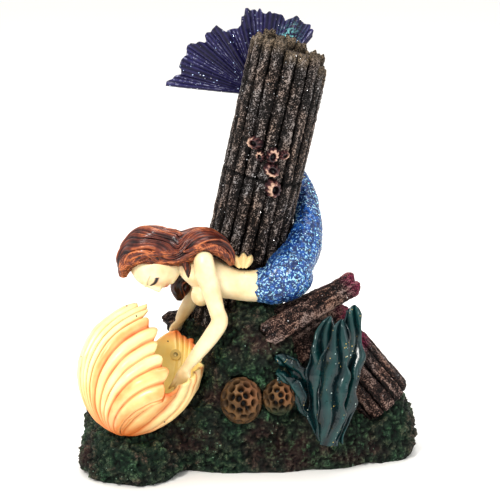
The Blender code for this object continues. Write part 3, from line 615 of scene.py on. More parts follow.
# clam shell
shellShape = {
    "beak": (-46.0, -29.0, 19.5), "height": 49.0, "halfWidth": 22.0, "turn": 33.0, "spread": 99.0,
    "wall": 1.9, "ribHeight": 1.5, "joint": 0.42, "upperLean": (0.115, 0.30, 0.95),
    "lowerMiddle": (13.7, 15.6, 15.2), "lowerForward": (14.7, 11.7, 8.3),
    "lowerAcross": (4.4, -18.6, -4.9), "lowerLift": (0.8, -0.8, 7.8),
    "upper": {"ribs": 16, "out": (-0.839, -0.545, 0.10), "first": (0.12, 22.5),
              "second": (0.84, 30.6), "fullness": 1.1, "sides": 0.35, "points": 0.020},
    "lower": {"ribs": 15, "out": (0.55, 0.25, -0.80), "first": (0.30, 15.0),
              "second": (0.80, 11.0), "fullness": 0.8, "sides": 1.45, "points": 0.012}}


def shellSheet(rimAt, own, shape, borders=None):
    # ribs run from the beak to the rim: a cubic curve whose two middle points are pushed out,
    # less so at the two sides, where the valves meet.
    # u goes round the rim and t from the beak to the rim. Each rib is round with a narrow
    # groove beside it, and the rim is drawn out to a point at each rib
    ribs = own["ribs"]
    u, t = np.meshgrid(np.linspace(0, 1, ribs * 14 + 1), np.linspace(0.03, 1, 70), indexing="ij")
    drift = u + 0.010 * np.sin(u * 23) + 0.006 * np.sin(t * 5 + u * 11)
    wave = np.abs(np.sin(np.pi * ribs * drift)) ** 0.72
    point = np.abs(np.sin(np.pi * ribs * drift)) ** 1.3
    t = t * (1 + (own["points"] * (point - 0.5) + 0.015 * np.sin(u * 37)) * t ** 7)
    edge = rimAt(np.radians((u * 2 - 1) * shape["spread"]))
    beak, out = np.array(shape["beak"]), np.array(own["out"])
    reach = (np.linalg.norm(edge - beak, axis=-1, keepdims=True) / shape["height"]) ** own[
        "fullness"] * (1 - own["sides"] * np.abs(u * 2 - 1)[..., None] ** 6)
    first = beak + (edge - beak) * own["first"][0] + out * own["first"][1] * reach
    second = beak + (edge - beak) * own["second"][0] + out * own["second"][1] * reach
    t = t[..., None]
    sheet = (beak * (1 - t) ** 3 + first * 3 * t * (1 - t) ** 2
             + second * 3 * t * t * (1 - t) + edge * t ** 3)
    if borders:
        for border, side in zip(borders, (-1, 1)):
            # the last ribs bend over to the other valve's side, so that the two close
            share = np.clip(1 - (1 - side * (u * 2 - 1)) / shape["joint"], 0, 1)[..., None]
            sheet = sheet * (1 - eased(share)) + border * eased(share)
    normal = normalTo(sheet)
    normal *= np.sign((normal * out).sum())
    t = t[..., 0]
    flare = np.clip((t - 0.8) * 5, 0, 1.3) ** 2
    rise = shape["ribHeight"] * (wave - 0.55) * (np.clip(t * 1.6, 0, 1) ** 1.3 + 0.35 * flare)
    rings = 0.16 * np.sin(t * 34 + 2 * smoothNoise(sheet / 9.0, 4)) * t ** 3
    rise = rise + rings + 0.14 * layeredNoise(sheet / 3.0, 2, 7) - 0.15 * flare * (1 - point)
    wall = shape["wall"] * (0.5 - 0.24 * t ** 8)
    outer = sheet + normal * (wall + rise)[..., None]
    inner = sheet - normal * (wall - rise * 0.65 * t ** 3)[..., None]
    return outer, inner, wave, t, u, np.clip((t - 0.9) * 10, 0, 1)


def makeShell(shape):
    turn = math.radians(shape["turn"])
    beak = np.array(shape["beak"])
    along = unit(np.array(shape["upperLean"]))
    across = np.array([math.sin(turn), -math.cos(turn), 0]) * shape["halfWidth"]

    def upperRim(a):
        # an egg, wider on the near side than on the far side, and drawn in half way up it
        a = a[..., None]
        return (beak + along * shape["height"] / 2 * (1 + np.cos(a))
                + across * (0.86 * np.sin(a) + 0.28 * np.sin(a) ** 2
                            - 0.2 * (a > 0) * np.sin(2 * a) ** 2))

    def lowerRim(a):
        # a tilted oval whose two long sides stand higher than its ends
        a = a[..., None]
        middle, forward, side, lift = (np.array(shape["lower" + part]) for part in (
            "Middle", "Forward", "Across", "Lift"))
        return beak + middle + forward * np.cos(a) + side * np.sin(a) + lift * np.sin(a) ** 2

    borders = None
    for name, node, rim, label in (("shellUpperValve", "shell_upper_valve", upperRim, "upper"),
                                   ("shellLowerValve", "shell_lower_valve", lowerRim, "lower")):
        outer, inner, wave, t, u, edgeMark = shellSheet(rim, shape[label], shape, borders)
        borders = (outer + inner)[0] / 2, (outer + inner)[-1] / 2
        points, faces = closedSheet(outer, inner)
        lower = label == "lower"
        tint = 0.55 + 0.45 * np.sin(u * 43.0 + 1.0) * np.sin(u * 17.0) - 0.5 * bump(
            u - 0.5, 0.16) * t
        warm = edgeMark * (np.clip(np.sin(u * 9 - 1.2) * 1.6, 0, 1) if lower else 0.15)
        marks = {"rib": (wave, wave * 0 + 0.6), "toRim": (t, t), "edge": (warm, warm),
                 "tint": (tint, tint), "inside": (t * 0, np.ones_like(t))}
        addPiece(name, meshOf(name, points, faces), finishes["shell"], "painted_shell", [node],
                 **{key: np.concatenate([one.ravel(), two.ravel()])
                    for key, (one, two) in marks.items()})


makeShell(shellShape)
print("shell done")


# mermaid, with y as her side to side
figureShape = {
    "cell": 0.34, "smoothing": 4,
    "torso": ((-29.0, -9.6, 82.6, 3.0, 3.1), (-24.4, -9.0, 81.6, 3.4, 3.7),
              (-20.4, -8.4, 79.8, 7.6, 5.4), (-14.4, -8.0, 77.0, 8.4, 7.2),
              (-9.0, -8.0, 74.8, 7.4, 6.8), (-3.6, -8.0, 73.2, 6.7, 5.9),
              (1.4, -8.0, 72.6, 6.9, 6.0), (8.0, -8.0, 72.6, 7.3, 6.2)),
    "leftArm": ((-15.8, -12.6, 84.0, 2.4, 2.6), (-15.4, -15.6, 85.8, 3.4, 3.6),
                (-14.8, -17.6, 81.5, 3.8, 4.2), (-12.4, -19.0, 73.6, 3.3, 3.6),
                (-10.4, -20.2, 66.4, 2.9, 3.1), (-9.3, -21.0, 62.0, 3.1, 3.3),
                (-12.4, -21.6, 56.6, 3.1, 3.2), (-17.4, -22.0, 50.0, 2.6, 2.7),
                (-21.4, -22.2, 44.8, 2.0, 2.0), (-22.8, -22.2, 42.8, 1.9, 1.8)),
    "rightArm": ((-14.0, -2.6, 80.0, 2.4, 2.6), (-16.0, 1.6, 80.4, 3.3, 3.5),
                 (-17.4, 4.4, 73.4, 3.2, 3.4), (-21.4, 7.4, 61.8, 2.9, 3.0),
                 (-24.0, 8.9, 56.8, 2.6, 2.6), (-25.8, 10.4, 53.0, 2.0, 2.0)),
    "hands": (((-22.2, -22.4, 43.6), (-27.0, -21.6, 31.8), (0.90, 0.10, -0.38), 1.0),
              ((-25.4, 10.2, 53.4), (-29.0, 13.0, 43.6), (0.55, 0.80, -0.20), -1.0)),
    "cups": ((-16.2, -12.6, 70.6), (-16.2, -3.6, 70.6)), "cupLean": (-1.3, 0, -4.6),
    "cupRadii": (4.0, 4.2), "topLow": (-21.5, -16.2, 63.0), "topHigh": (-11.6, 1.0, 71.6),
    "headMiddle": (-34.0, -10.8, 81.6), "headUp": (-0.972, 0.0, 0.235),
    "headFacing": (-0.20, -0.58, -0.80), "headRadii": (7.3, 9.2, 9.9),
    "features": {"brow": (0.30, 1.9, 0.9, 2.2, 2.4), "socket": (-0.95, -0.35, 1.15, 2.75, 1.5),
                 "lid": (0.62, -0.7, 0.72, 2.75, 1.15), "nostril": (0.35, -3.9, 0.5, 0.95, 0.45),
                 "upperLip": (0.62, -5.35, 0.36, 0, 1.45),
                 "lipNotch": (-0.155, -5.35, 0.36, 0, 0.2938),
                 "lowerLip": (0.66, -6.25, 0.42, 0, 1.25), "mouth": (-0.28, -5.8, 0.16, 0, 1.6),
                 "underLip": (-0.35, -7.1, 0.45, 0, 1.6), "chin": (0.75, -8.3, 1.0, 0, 1.5),
                 "cheek": (0.45, -2.6, 1.7, 3.4, 1.5)}}


def limb(stations, count, around=28):
    # an oval carried along a smooth path; each station is a middle and two half widths
    return closedTube(ovals(throughRows(stations, count), circle(around)))


def finger(start, end, radius, bend):
    # a thin tube with a rounded tip that bends once on its way
    rows = throughRows([start, (start + end) / 2 + bend, end], 16)
    t = np.linspace(0, 1, 16)
    size = radius * (1.05 - 0.30 * t) * np.sqrt(np.clip((1.0 - t) / 0.16, 0.02, 1))
    angle = circle(12)
    return closedTube(carried(rows, (0.1, 1, 0), size[:, None] * np.cos(angle),
                              size[:, None] * np.sin(angle)))


def hand(wrist, tip, spread, thumbSide):
    # a flat palm, four fingers side by side with gaps between them, and a thumb
    wrist, tip, spread = np.array(wrist), np.array(tip), unit(np.array(spread))
    reach = tip - wrist
    palmEnd = wrist + reach * 0.46
    t, angle = steps(14), circle(20)
    path = wrist - reach * 0.06 + (palmEnd - wrist + reach * 0.10) * t
    wide = 1.9 + 1.1 * np.sin(t * 1.9)
    parts = [closedTube(carried(path, spread, wide * np.cos(angle),
                                (1.6 - 0.5 * t) * np.sin(angle)))]
    bend = np.cross(unit(reach), spread) * 0.7 * thumbSide
    for k, length in ((-1.5, 0.82), (-0.5, 0.98), (0.5, 1.0), (1.5, 0.88)):
        root = palmEnd - reach * 0.06 + spread * k * 1.42
        parts.append(finger(root, wrist + reach * length + spread * k * 2.1, 0.80, bend))
    side = wrist + reach * 0.14 + spread * 1.9 * thumbSide
    parts.append(finger(side, side + reach * 0.46 + spread * 2.0 * thumbSide, 0.88, bend))
    return parts


def headAxes(shape):
    up = unit(np.array(shape["headUp"]))
    facing = np.array(shape["headFacing"])
    facing = unit(facing - up * (facing @ up))
    return np.stack([np.cross(facing, up), facing, up])


def headSurface(shape):
    # an egg on three half sizes, read by angle; then its front is moved along the facing
    # direction by the nose, a bell that widens downwards, and by a bell for each feature: how
    # far it rises, its height and tallness, its place to each side and its width
    turn, tilt = np.meshgrid(circle(160), np.linspace(-1.55, 1.55, 150))
    s, f, u = np.cos(tilt) * np.sin(turn), np.cos(tilt) * np.cos(turn), np.sin(tilt)
    wide, deep, tall = shape["headRadii"]
    size = 1 / np.sqrt((s / wide) ** 2 + (f / deep) ** 2 + (u / tall) ** 2)
    s, f, u = s * size, f * size, u * size
    low = np.clip(-u / tall, 0, 1)
    s = s * (1 - 0.34 * low ** 1.6)
    f = np.where(f > 0, f * (1 - 0.06 * low), f * (1 - 0.30 * low ** 1.3))
    front = np.clip(f / 5.0, 0, 1) ** 1.5
    a = np.abs(s)
    along = np.clip((0.9 - u) / 4.4, 0, 1)
    nose = (0.35 + 1.75 * along ** 1.3) * bump(a, 0.75 + 0.45 * along)
    nose = nose * np.clip((u + 4.5) / 0.7, 0, 1) * np.clip((2.6 - u) / 1.8, 0, 1)
    move = nose + sum(rise * bump(u - height, tallness) * bump(a - side, width)
                      for rise, height, tallness, side, width in shape["features"].values())
    f = f + move * front
    middle, axes = np.array(shape["headMiddle"]), headAxes(shape)
    return closedTube(middle + np.stack([s, f, u], -1) @ axes)


def makeFigure(shape):
    # all her parts melted into one skin, which is then marked for lashes, lips and blush by
    # bells in the head's own directions
    parts = [limb(shape["torso"], 60, 40), limb(shape["leftArm"], 70), limb(shape["rightArm"], 50),
             headSurface(shape)]
    for wrist, tip, spread, thumbSide in shape["hands"]:
        parts += hand(wrist, tip, spread, thumbSide)
    for middle in shape["cups"]:
        # the rings of a ball that leans
        angle = np.linspace(-1.5, 1.5, 24)[:, None]
        path = np.array(middle) + np.sin(angle) * np.array(shape["cupLean"])
        parts.append(closedTube(ovals(np.hstack([path, np.cos(angle) * shape["cupRadii"]]),
                                      circle(24))))
    mesh = fused("figure", *joined(parts), shape["cell"], shape["smoothing"])
    points = pointsOf(mesh)
    s, f, u = ((points - np.array(shape["headMiddle"])) @ headAxes(shape).T).T
    onFace = ((f > 3.0) & (np.abs(u) < 9.5)).astype(float)
    a = np.abs(s)
    lid = -1.0 - 0.55 * (a - 2.7) + 0.12 * (a - 2.7) ** 2     # the lowered lashes
    line = np.clip(1.9 * bump(u - lid, 0.30 + 0.10 * a) * (np.abs(a - 3.1) < 1.9) - 0.3, 0, 1)
    line = line + 0.45 * bump(u - 1.3 - 0.3 * np.cos(a - 3), 0.28) * (np.abs(a - 3.2) < 1.9)
    blush = 0.42 * bump(u + 2.6, 1.6) * bump(a - 3.6, 1.7)
    lip = bump(u + 5.8, 0.75) * bump(a, 1.6)
    top = ((points > shape["topLow"]) & (points < shape["topHigh"])).all(-1)
    addPiece("figure", mesh, finishes["skin"], "painted_skin",
             ["mermaid_torso", "mermaid_head", "mermaid_left_arm", "mermaid_right_arm"],
             line=np.clip(line, 0, 1) * onFace, blush=blush * onFace, lip=lip * onFace,
             cloth=top * 0.35)


def makeBow():
    # three short pointed leaves that stand on the small of the back
    parts = []
    for lean, size in ((-2.6, 4.2), (0.3, 4.8), (2.6, 4.0)):
        u, t = np.meshgrid(np.linspace(-1, 1, 13), np.linspace(0, 1, 18), indexing="ij")
        wide = 2.1 * (t + 0.35) ** 0.5 * (1 - t ** 2.2) + 0.12
        x = -1.0 + lean * (0.45 + t * 0.7) + u * wide
        z = 79.9 + size * t + 0.5 * np.abs(u) * (1 - t)
        y = -8.4 + 0.7 * u ** 2 + 0.3 * t + 0 * u
        front = np.stack([x, y - 0.45, z], -1)
        parts.append(closedSheet(front, np.stack([x, y + 0.45, z], -1)))
    points, faces = joined(parts)
    zero = np.zeros(len(points))
    addPiece("bow", meshOf("bow", seatOn(points, "back_bow", 0.4), faces), finishes["skin"],
             "painted_skin", ["back_bow"], line=zero, blush=zero, lip=zero, cloth=zero + 0.55)


makeFigure(figureShape)
makeBow()
print("figure done")


# hair
hairShape = {
    "stations": ((-46.6, -10.6, 77.6, 4.0, 1.6), (-46.0, -10.5, 81.4, 6.4, 2.6),
                 (-44.0, -10.5, 85.8, 8.2, 4.6), (-37.4, -10.5, 89.3, 9.2, 7.0),
                 (-27.6, -10.0, 88.4, 8.4, 6.4), (-22.6, -9.8, 89.0, 7.6, 5.6),
                 (-16.6, -9.6, 91.6, 8.0, 4.2), (-10.4, -9.5, 90.0, 7.0, 3.4),
                 (-6.2, -9.8, 85.6, 4.4, 2.4), (-4.6, -10.0, 81.6, 1.2, 0.9)),
    "depth": 1.7,
    "locks": ((205, 16, 0.02, 0.55, 1.3), (222, -14, 0.04, 0.62, 1.2), (238, 20, 0.02, 0.80, 1.4),
              (254, -16, 0.06, 0.92, 1.3), (268, 16, 0.03, 0.97, 1.3), (284, -18, 0.08, 0.95, 1.2),
              (300, 14, 0.04, 0.90, 1.3), (318, -16, 0.10, 0.86, 1.1), (188, 12, 0.02, 0.50, 1.1),
              (176, -10, 0.03, 0.44, 1.1), (340, 12, 0.04, 0.7, 1.1), (0, -12, 0.05, 0.6, 1.1),
              (196, 10, 0.50, 0.97, 1.2), (182, 10, 0.54, 0.96, 1.2), (214, 12, 0.45, 0.98, 1.3))}


def strands(angle, s, seed=0):
    # a noise stretched along the hair: round strands where it is far from zero and a sharp
    # groove where it crosses zero, coarse and fine
    turn = angle + 0.75 * np.sin(s * 8.5 + 0.4) + 0.9 * s + 0.12 * np.sin(s * 31 + angle * 3)
    total = 0
    for height, around, along, own in ((0.80, 4.2, 3.0, seed), (0.55, 10.5, 6.0, seed + 5)):
        place = np.broadcast_arrays(around * np.cos(turn), around * np.sin(turn), s * along)
        total = total + height * np.abs(smoothNoise(np.stack(place, -1), own)) ** 0.6
    return np.clip(total, 0, 1.2)


def makeHair(shape):
    # an oval carried from brow to tip and grooved by the strands, with locks lying on it
    rows = throughRows(shape["stations"], 200)
    s, angle = steps(200), circle(320)
    ridge = strands(angle, s)
    ends = np.clip(np.minimum(s, 1 - s) * 12, 0.25, 1)
    grow = (ridge - 0.55) * shape["depth"] * ends
    x = (rows[:, 3:4] + grow) * np.cos(angle)
    y = (rows[:, 4:5] + grow) * np.sin(angle)
    parts = [closedTube(carried(rows[:, :3], (0, 1, 0), x, y))]
    marks = [onTube(ridge, 0.5, 0.5)]
    turn = circle(28)
    for number, (start, swing, first, last, radius) in enumerate(shape["locks"]):
        # a raised lock that wanders over the cap, thick in its middle and pointed at its ends
        t = np.linspace(0, 1, 80)
        where = throughRows(rows, 2000)[((first + (last - first) * t) * 1999).astype(int)]
        around = np.radians(start + swing * np.sin(t * 5.2 + start))
        along = unit(np.gradient(where[:, :3], axis=0))
        across = unit(np.array([0.0, 1.0, 0.0]) - along * along[:, 1:2])
        up = np.cross(along, across)
        path = (where[:, :3] + across * (where[:, 3] * np.cos(around))[:, None]
                + up * (where[:, 4] * np.sin(around))[:, None])
        thick = (radius * np.sin(np.pi * np.clip(t, 0.02, 0.98)) ** 0.5)[:, None]
        cut = strands(turn, t[:, None] * 1.4, 30 + number)
        ring = thick * (0.82 + 0.30 * (cut - 0.5))
        outward = unit(path - where[:, :3])
        parts.append(closedTube(carried(path, unit(np.cross(along, outward)),
                                        ring * 1.5 * np.cos(turn), ring * 0.8 * np.sin(turn))))
        marks.append(onTube(0.10 + cut, 0.5, 0.5))
    points, faces = joined(parts)
    addPiece("hair", meshOf("hair", points, faces), finishes["hair"], "painted_hair",
             ["mermaid_hair"], ridge=np.concatenate(marks))
    makeLock("hairNearLock", ((-24.0, -13.6, 86.0, 1.2, 1.4), (-22.0, -14.4, 82.4, 1.3, 1.4),
                              (-21.0, -14.6, 79.0, 0.9, 1.0), (-20.6, -14.2, 76.6, 0.3, 0.3)), ())
    makeLock("hairFarLock", ((-21.2, 2.2, 83.6, 2.2, 2.4), (-22.2, 3.4, 77.0, 3.0, 3.2),
                             (-25.0, 3.0, 69.0, 3.5, 3.9), (-25.6, 2.4, 63.6, 1.0, 1.0)),
             ["mermaid_hair_lock"])


def makeLock(name, stations, stands):
    # one hanging lock: an oval carried down its path and grooved by the strands
    ridge = strands(circle(80), steps(70) * 0.8, 90)
    points, faces = closedTube(ovals(throughRows(stations, 70), circle(80),
                                     1 + 0.22 * (ridge - 0.5)))
    addPiece(name, meshOf(name, points, faces), finishes["hair"], "painted_hair", stands,
             ridge=onTube(ridge * 0.8, 0.3, 0.3))


makeHair(hairShape)
print("hair done")


# tail and fluke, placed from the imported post
postFoot, postAxis, _ = longAxis("post_core")
postBack = np.array([0.0, 1.0, 0.0])
postSide = unit(np.cross(postBack, postAxis))
postRadius = max(np.linalg.norm((p - postFoot) - postAxis * ((p - postFoot) @ postAxis))
                 for p in nodePoints("post_stave_13"))


def besidePost(height, degrees, distance):
    # a point round the post: 0 degrees is its right side and 90 its back
    a = math.radians(degrees)
    return (postFoot + postAxis * height
            + (postSide * math.cos(a) + postBack * math.sin(a)) * distance)


tailShape = {
    "cell": 0.5, "scale": 1.35,
    "hips": ((4.9, -8.0, 72.5, 7.5, 6.5), (7.6, -8.1, 72.6, 7.9, 6.9), (11.5, -8.6, 73.4, 8.2, 8.2),
             (17.4, -8.0, 76.6, 8.5, 9.4)),
    "wrap": ((31.5, -47, 8.6), (40.0, -24, 7.2), (50.0, 8, 5.2), (59.0, 38, 4.8),
             (68.0, 72, 4.5), (76.5, 98, 4.0), (85.0, 112, 3.4), (91.5, 113, 3.0)),
    "fluke": {"height": 91.0, "degrees": 113, "from": 172.0, "sweep": 122.0, "pleats": 13,
              "wall": 1.5, "lobes": ((0, 37.6), (0.07, 32.2), (0.17, 33.2), (0.23, 34.4),
                                     (0.31, 30.8), (0.42, 34.4), (0.46, 29.4), (0.53, 28.6),
                                     (0.60, 35.4), (0.70, 33.5), (0.75, 34.5), (0.81, 31.8),
                                     (0.86, 34.3), (0.90, 32.6), (0.95, 34.3), (1, 31.0))}}


def makeTail(shape):
    # a circle carried from the hips round the post, melted to clear its bends, then covered
    # with small scales: each is the distance to its own scattered point
    stations = [*shape["hips"]]
    for height, degrees, radius in shape["wrap"]:
        stations.append((*besidePost(height, degrees, postRadius + radius + 0.3), radius, radius))
    turn = circle(120)
    rings = ovals(throughRows(stations, 300), turn)
    # the first rings, at her waist, end in a ragged edge
    rings[:3, :, 0] += 0.8 * np.sin(turn * 9) + 0.6 * np.sin(turn * 23) + 0.5
    mesh = fused("tail", *closedTube(rings), shape["cell"], 6)
    points = pointsOf(mesh)
    scale = pebbles(points / shape["scale"], 11)
    grain = 0.5 * (0.6 - scale) + 0.12 * layeredNoise(points / 0.9, 2, 31) + 0.25 * smoothNoise(
        points / 5.0, 35)
    movePoints(mesh, seatOn(points, "mermaid_tail", 0.1) + normalsOf(mesh) * grain[:, None])
    addPiece("tail", mesh, finishes["tail"], "glitter_tail", ["mermaid_tail"],
             relief=np.clip(1.0 - scale, 0, 1))


def makeFluke(shape):
    # rays run from a root: u turns through the sweep and t goes out to a lobed edge, whose
    # reach is read between the lobes. The pleats lift the sheet by a wave that grows outwards
    own = shape["fluke"]
    root = besidePost(own["height"], own["degrees"], postRadius + 3.4)
    u, t = np.meshgrid(np.linspace(0, 1, 420), np.linspace(0, 1, 90), indexing="ij")
    a = np.radians(own["from"] - own["sweep"] * u)
    fold = np.sin(u * np.pi * own["pleats"])
    at, lobes = np.array(own["lobes"]).T
    edge = np.interp(u, at, lobes) + 0.9 * smoothNoise(np.stack([u * 60, u * 0, u * 0], -1), 5)
    reach = 1.5 + (edge - 1.5) * t
    rays = 0.5 + 0.5 * np.sin(u * np.pi * own["pleats"] * 6)
    sway = -9.0 * (1 - u) ** 2 * t + 2.0 * np.sin(u * 9.0) * t + 3.0 * t
    y = sway + 1.25 * fold * t + 0.9 * np.sin(u * 19 + 2.0) * t ** 3
    sheet = root + np.stack([np.cos(a) * reach, y, np.sin(a) * reach], -1)
    wall = own["wall"] * (0.5 - 0.22 * t) + 0.22 * rays * np.clip(t * 3, 0, 1)
    wall = wall + 0.10 * layeredNoise(sheet / 1.4, 2, 12)
    points, faces = thickened(sheet, wall)
    ridge = np.clip(0.25 + 0.45 * rays + 0.30 * (fold * 0.5 + 0.5), 0, 1)
    teal = bump(u - 0.87, 0.06) * bump(t - 0.68, 0.17)
    addPiece("fluke", meshOf("fluke", seatOn(points, "tail_fin", 0.4), faces), finishes["fin"],
             "glitter_fin", ["tail_fin"], ridge=np.tile(ridge.ravel(), 2),
             teal=np.tile(teal.ravel(), 2))


makeTail(tailShape)
makeFluke(tailShape)
print("tail done")


# post, wreck and planks
staveShape = {"around": 34, "pitch": 0.45, "grain": 0.26, "notch": 0.35, "seam": 63.5}


def stick(name, foot, along, out, length, inner, outer, halfIn, halfOut, finish, slotName, node,
          shape, seed, seamAt=None, ragged=2.0):
    # a worn stave: a wedge, a circle squared by a power, carried along its own axis. It is
    # dented by long grain, pits and grit, cut by a bell at the seam, and broken at its top end
    count = int(length / shape["pitch"])
    turn = circle(shape["around"])
    c, s = np.cos(turn), np.sin(turn)
    square = (np.abs(c) ** 2.5 + np.abs(s) ** 2.5) ** (-1 / 2.5)
    c, s = c * square, s * square
    radial = (inner + outer) / 2 + c * (outer - inner) / 2
    share = (c + 1) / 2
    side = s * (halfIn + (halfOut - halfIn) * share)
    t = steps(count)
    across = np.cross(along, out)
    place = (foot + along * (t * length)[..., None] + out * radial[None, :, None]
             + across * side[None, :, None])
    height = t * length + 0 * side[None]
    local = np.stack([height / 7.0, side[None] + 0 * t + seed * 9.1, radial[None] + 0 * t], -1)
    grain = layeredNoise(local * np.array([1, 0.9, 0.9]), 3, seed)
    pock = pebbles(np.stack([height / 2.2, local[..., 1] * 1.1, local[..., 2] * 1.1], -1),
                   seed + 40)
    grit = layeredNoise(place / 0.9, 2, seed + 5)
    push = shape["grain"] * grain + shape["notch"] * (pock - 0.55) * 0.5 + 0.24 * grit
    if seamAt is not None:
        push = push - 0.9 * bump(height - seamAt - 0.7 * grain, 0.45) * share[None]
    middle = foot + along * (t * length)[..., None] + out * ((inner + outer) / 2)
    place = place + unit(place - middle) * push[..., None]
    chip = smoothNoise(np.stack([side * 1.3, radial * 1.1, 0 * side + seed], -1), seed + 9)
    pull = np.clip((t - 1) * length / 4.0 + 1, 0, 1) ** 2 * chip[None] * ragged
    place = place + along * pull[..., None]
    rounding = np.clip(np.minimum(t, 1 - t) * length / 0.9, 0.0, 1.0) ** 0.5
    place = middle + (place - middle) * (0.82 + 0.18 * rounding)[..., None]
    points, faces = closedTube(place)
    relief = np.clip(0.52 + 0.20 * grain + 0.16 * (pock - 0.5) + 0.20 * grit, 0, 1)
    # painted shade between the staves: the inner face and the sides, where each stave meets its
    # neighbours, are darkened
    relief = relief * (0.30 + 0.70 * np.clip(share[None] * 2.2 - 0.9, 0, 1)
                       * np.clip(1.7 - 1.35 * np.abs(side[None]) / max(halfOut, 0.1), 0, 1))
    if seamAt is not None:
        relief = relief * (1 - 0.9 * bump(height - seamAt - 0.7 * grain, 0.5))
    fray = np.clip((t - 1) * length / 5.0 + 1, 0, 1) + 0 * relief
    addPiece(name, meshOf(name, points, faces), finish, slotName, [node],
             relief=onTube(relief, 0.3, 0.55), ragged=onTube(fray, 0.0, 1.0))


def makeBundle(core, prefix, count, name, finish, slotName, shape, seamAt, ragged):
    # each stave takes its direction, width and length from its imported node: the farthest its
    # points lie along the bundle, away from it and to each side
    foot, along, _ = longAxis(core)
    for i in range(1, count + 1):
        node = prefix % i
        rel = nodePoints(node) - foot
        height = rel @ along
        flat = rel - height[:, None] * along
        out = unit(flat.mean(0))
        radial = flat @ out
        side = flat @ np.cross(along, out)
        outside = radial > radial.mean()
        stick(name % i, foot + along * height.min(), along, out, np.ptp(height),
              radial.min(), radial.max(), np.abs(side[~outside]).max() + 0.12,
              np.abs(side[outside]).max() + 0.10, finish, slotName, node, shape, 7 * i + count,
              None if seamAt is None else seamAt - height.min(), ragged)


makeBundle("post_core", "post_stave_%02d", 18, "stave%02d", finishes["post"], "weathered_post",
           staveShape, staveShape["seam"], 2.0)
makeBundle("wreck_core", "wreck_stave_%d", 6, "wreckStave%d", finishes["wreck"], "wreck_timber",
           staveShape, None, 2.4)
print("staves done")

timberShape = {
    "front": ("fallen_plank_front", (8.4, -15.2, 54.6), (43.2, -5.0, 73.4), 4.6, 9.2),
    "back": ("fallen_plank_back", (3.4, -6.2, 53.8), (34.6, 1.2, 66.2), 4.6, 9.0),
    "board": ("fallen_board", (7.6, -7.0, 39.8), (41.8, -3.0, 59.0), 3.0, 14.0),
    "log": ("rear_log", (-31.4, 16.8, 50.0), (-17.0, 24.6, 50.0), 8.6, 8.6)}


def makePlank(name, node, start, end, thick, wide, seed):
    # a bar carried from start to end, a circle squared by a power, dented along it by long
    # grain and pits, with both ends pulled out and in by a noise
    start, end = np.array(start), np.array(end)
    length = np.linalg.norm(end - start)
    along = (end - start) / length
    t, turn = steps(int(length / 0.42)), circle(76)
    power = 2.0 if node == "rear_log" else 5.0
    square = (np.abs(np.cos(turn)) ** power + np.abs(np.sin(turn)) ** power) ** (-1 / power)
    x = thick / 2 * np.cos(turn) * square + 0 * t
    y = wide / 2 * np.sin(turn) * square + 0 * t
    path = start + (end - start) * t
    rings = carried(path, (0, 1, 0), x, y)
    local = np.stack([t * length / 8.0 + 0 * x, x / 1.3, y / 1.3], -1)
    grain = layeredNoise(local, 3, seed)
    pock = pebbles(np.stack([t * length / 2.6 + 0 * x, x / 1.3, y / 1.3], -1), seed + 3)
    grit = layeredNoise(rings / 0.8, 2, seed + 6)
    push = 0.42 * grain + 0.5 * (pock - 0.55) + 0.16 * grit
    rings = rings + unit(rings - path[:, None]) * push[..., None]
    chip = smoothNoise(np.stack([x[0] / 1.7, y[0] / 1.7, 0 * x[0] + seed], -1), seed + 1)
    for at, sign in ((1.0, 1.0), (0.0, -1.0)):
        pull = np.clip(1 - np.abs(t - at) * length / 5.0, 0, 1) ** 1.5 * chip[None] * 2.2
        rings = rings + along * (sign * pull)[..., None]
    rounding = np.clip(np.minimum(t, 1 - t) * length / 1.2, 0.05, 1) ** 0.5
    middle = path[:, None]
    rings = middle + (rings - middle) * (0.6 + 0.4 * rounding)[..., None]
    points, faces = closedTube(rings)
    relief = np.clip(0.50 + 0.30 * grain + 0.40 * (pock - 0.5) + 0.16 * grit, 0, 1)
    fray = np.clip(1 - (1 - t) * length / 6.0, 0, 1) + 0 * x
    addPiece(name, meshOf(name, points, faces), finishes["wreck"], "wreck_timber", [node],
             relief=onTube(relief, 0.3, 0.5), ragged=onTube(fray, 0.0, 1.0))


for number, (label, row) in enumerate(timberShape.items()):
    makePlank(label + "Timber", *row, 61 + number * 11)
print("planks done")


# barnacles
barnacleShape = {
    "ridges": 9,
    "profile": ((1.12, -1.25), (1.06, -0.9), (0.94, -0.2), (0.80, 0.5), (0.70, 1.0), (0.60, 1.12),
                (0.50, 1.0), (0.40, 0.4), (0.30, -0.1), (0.04, -0.3))}


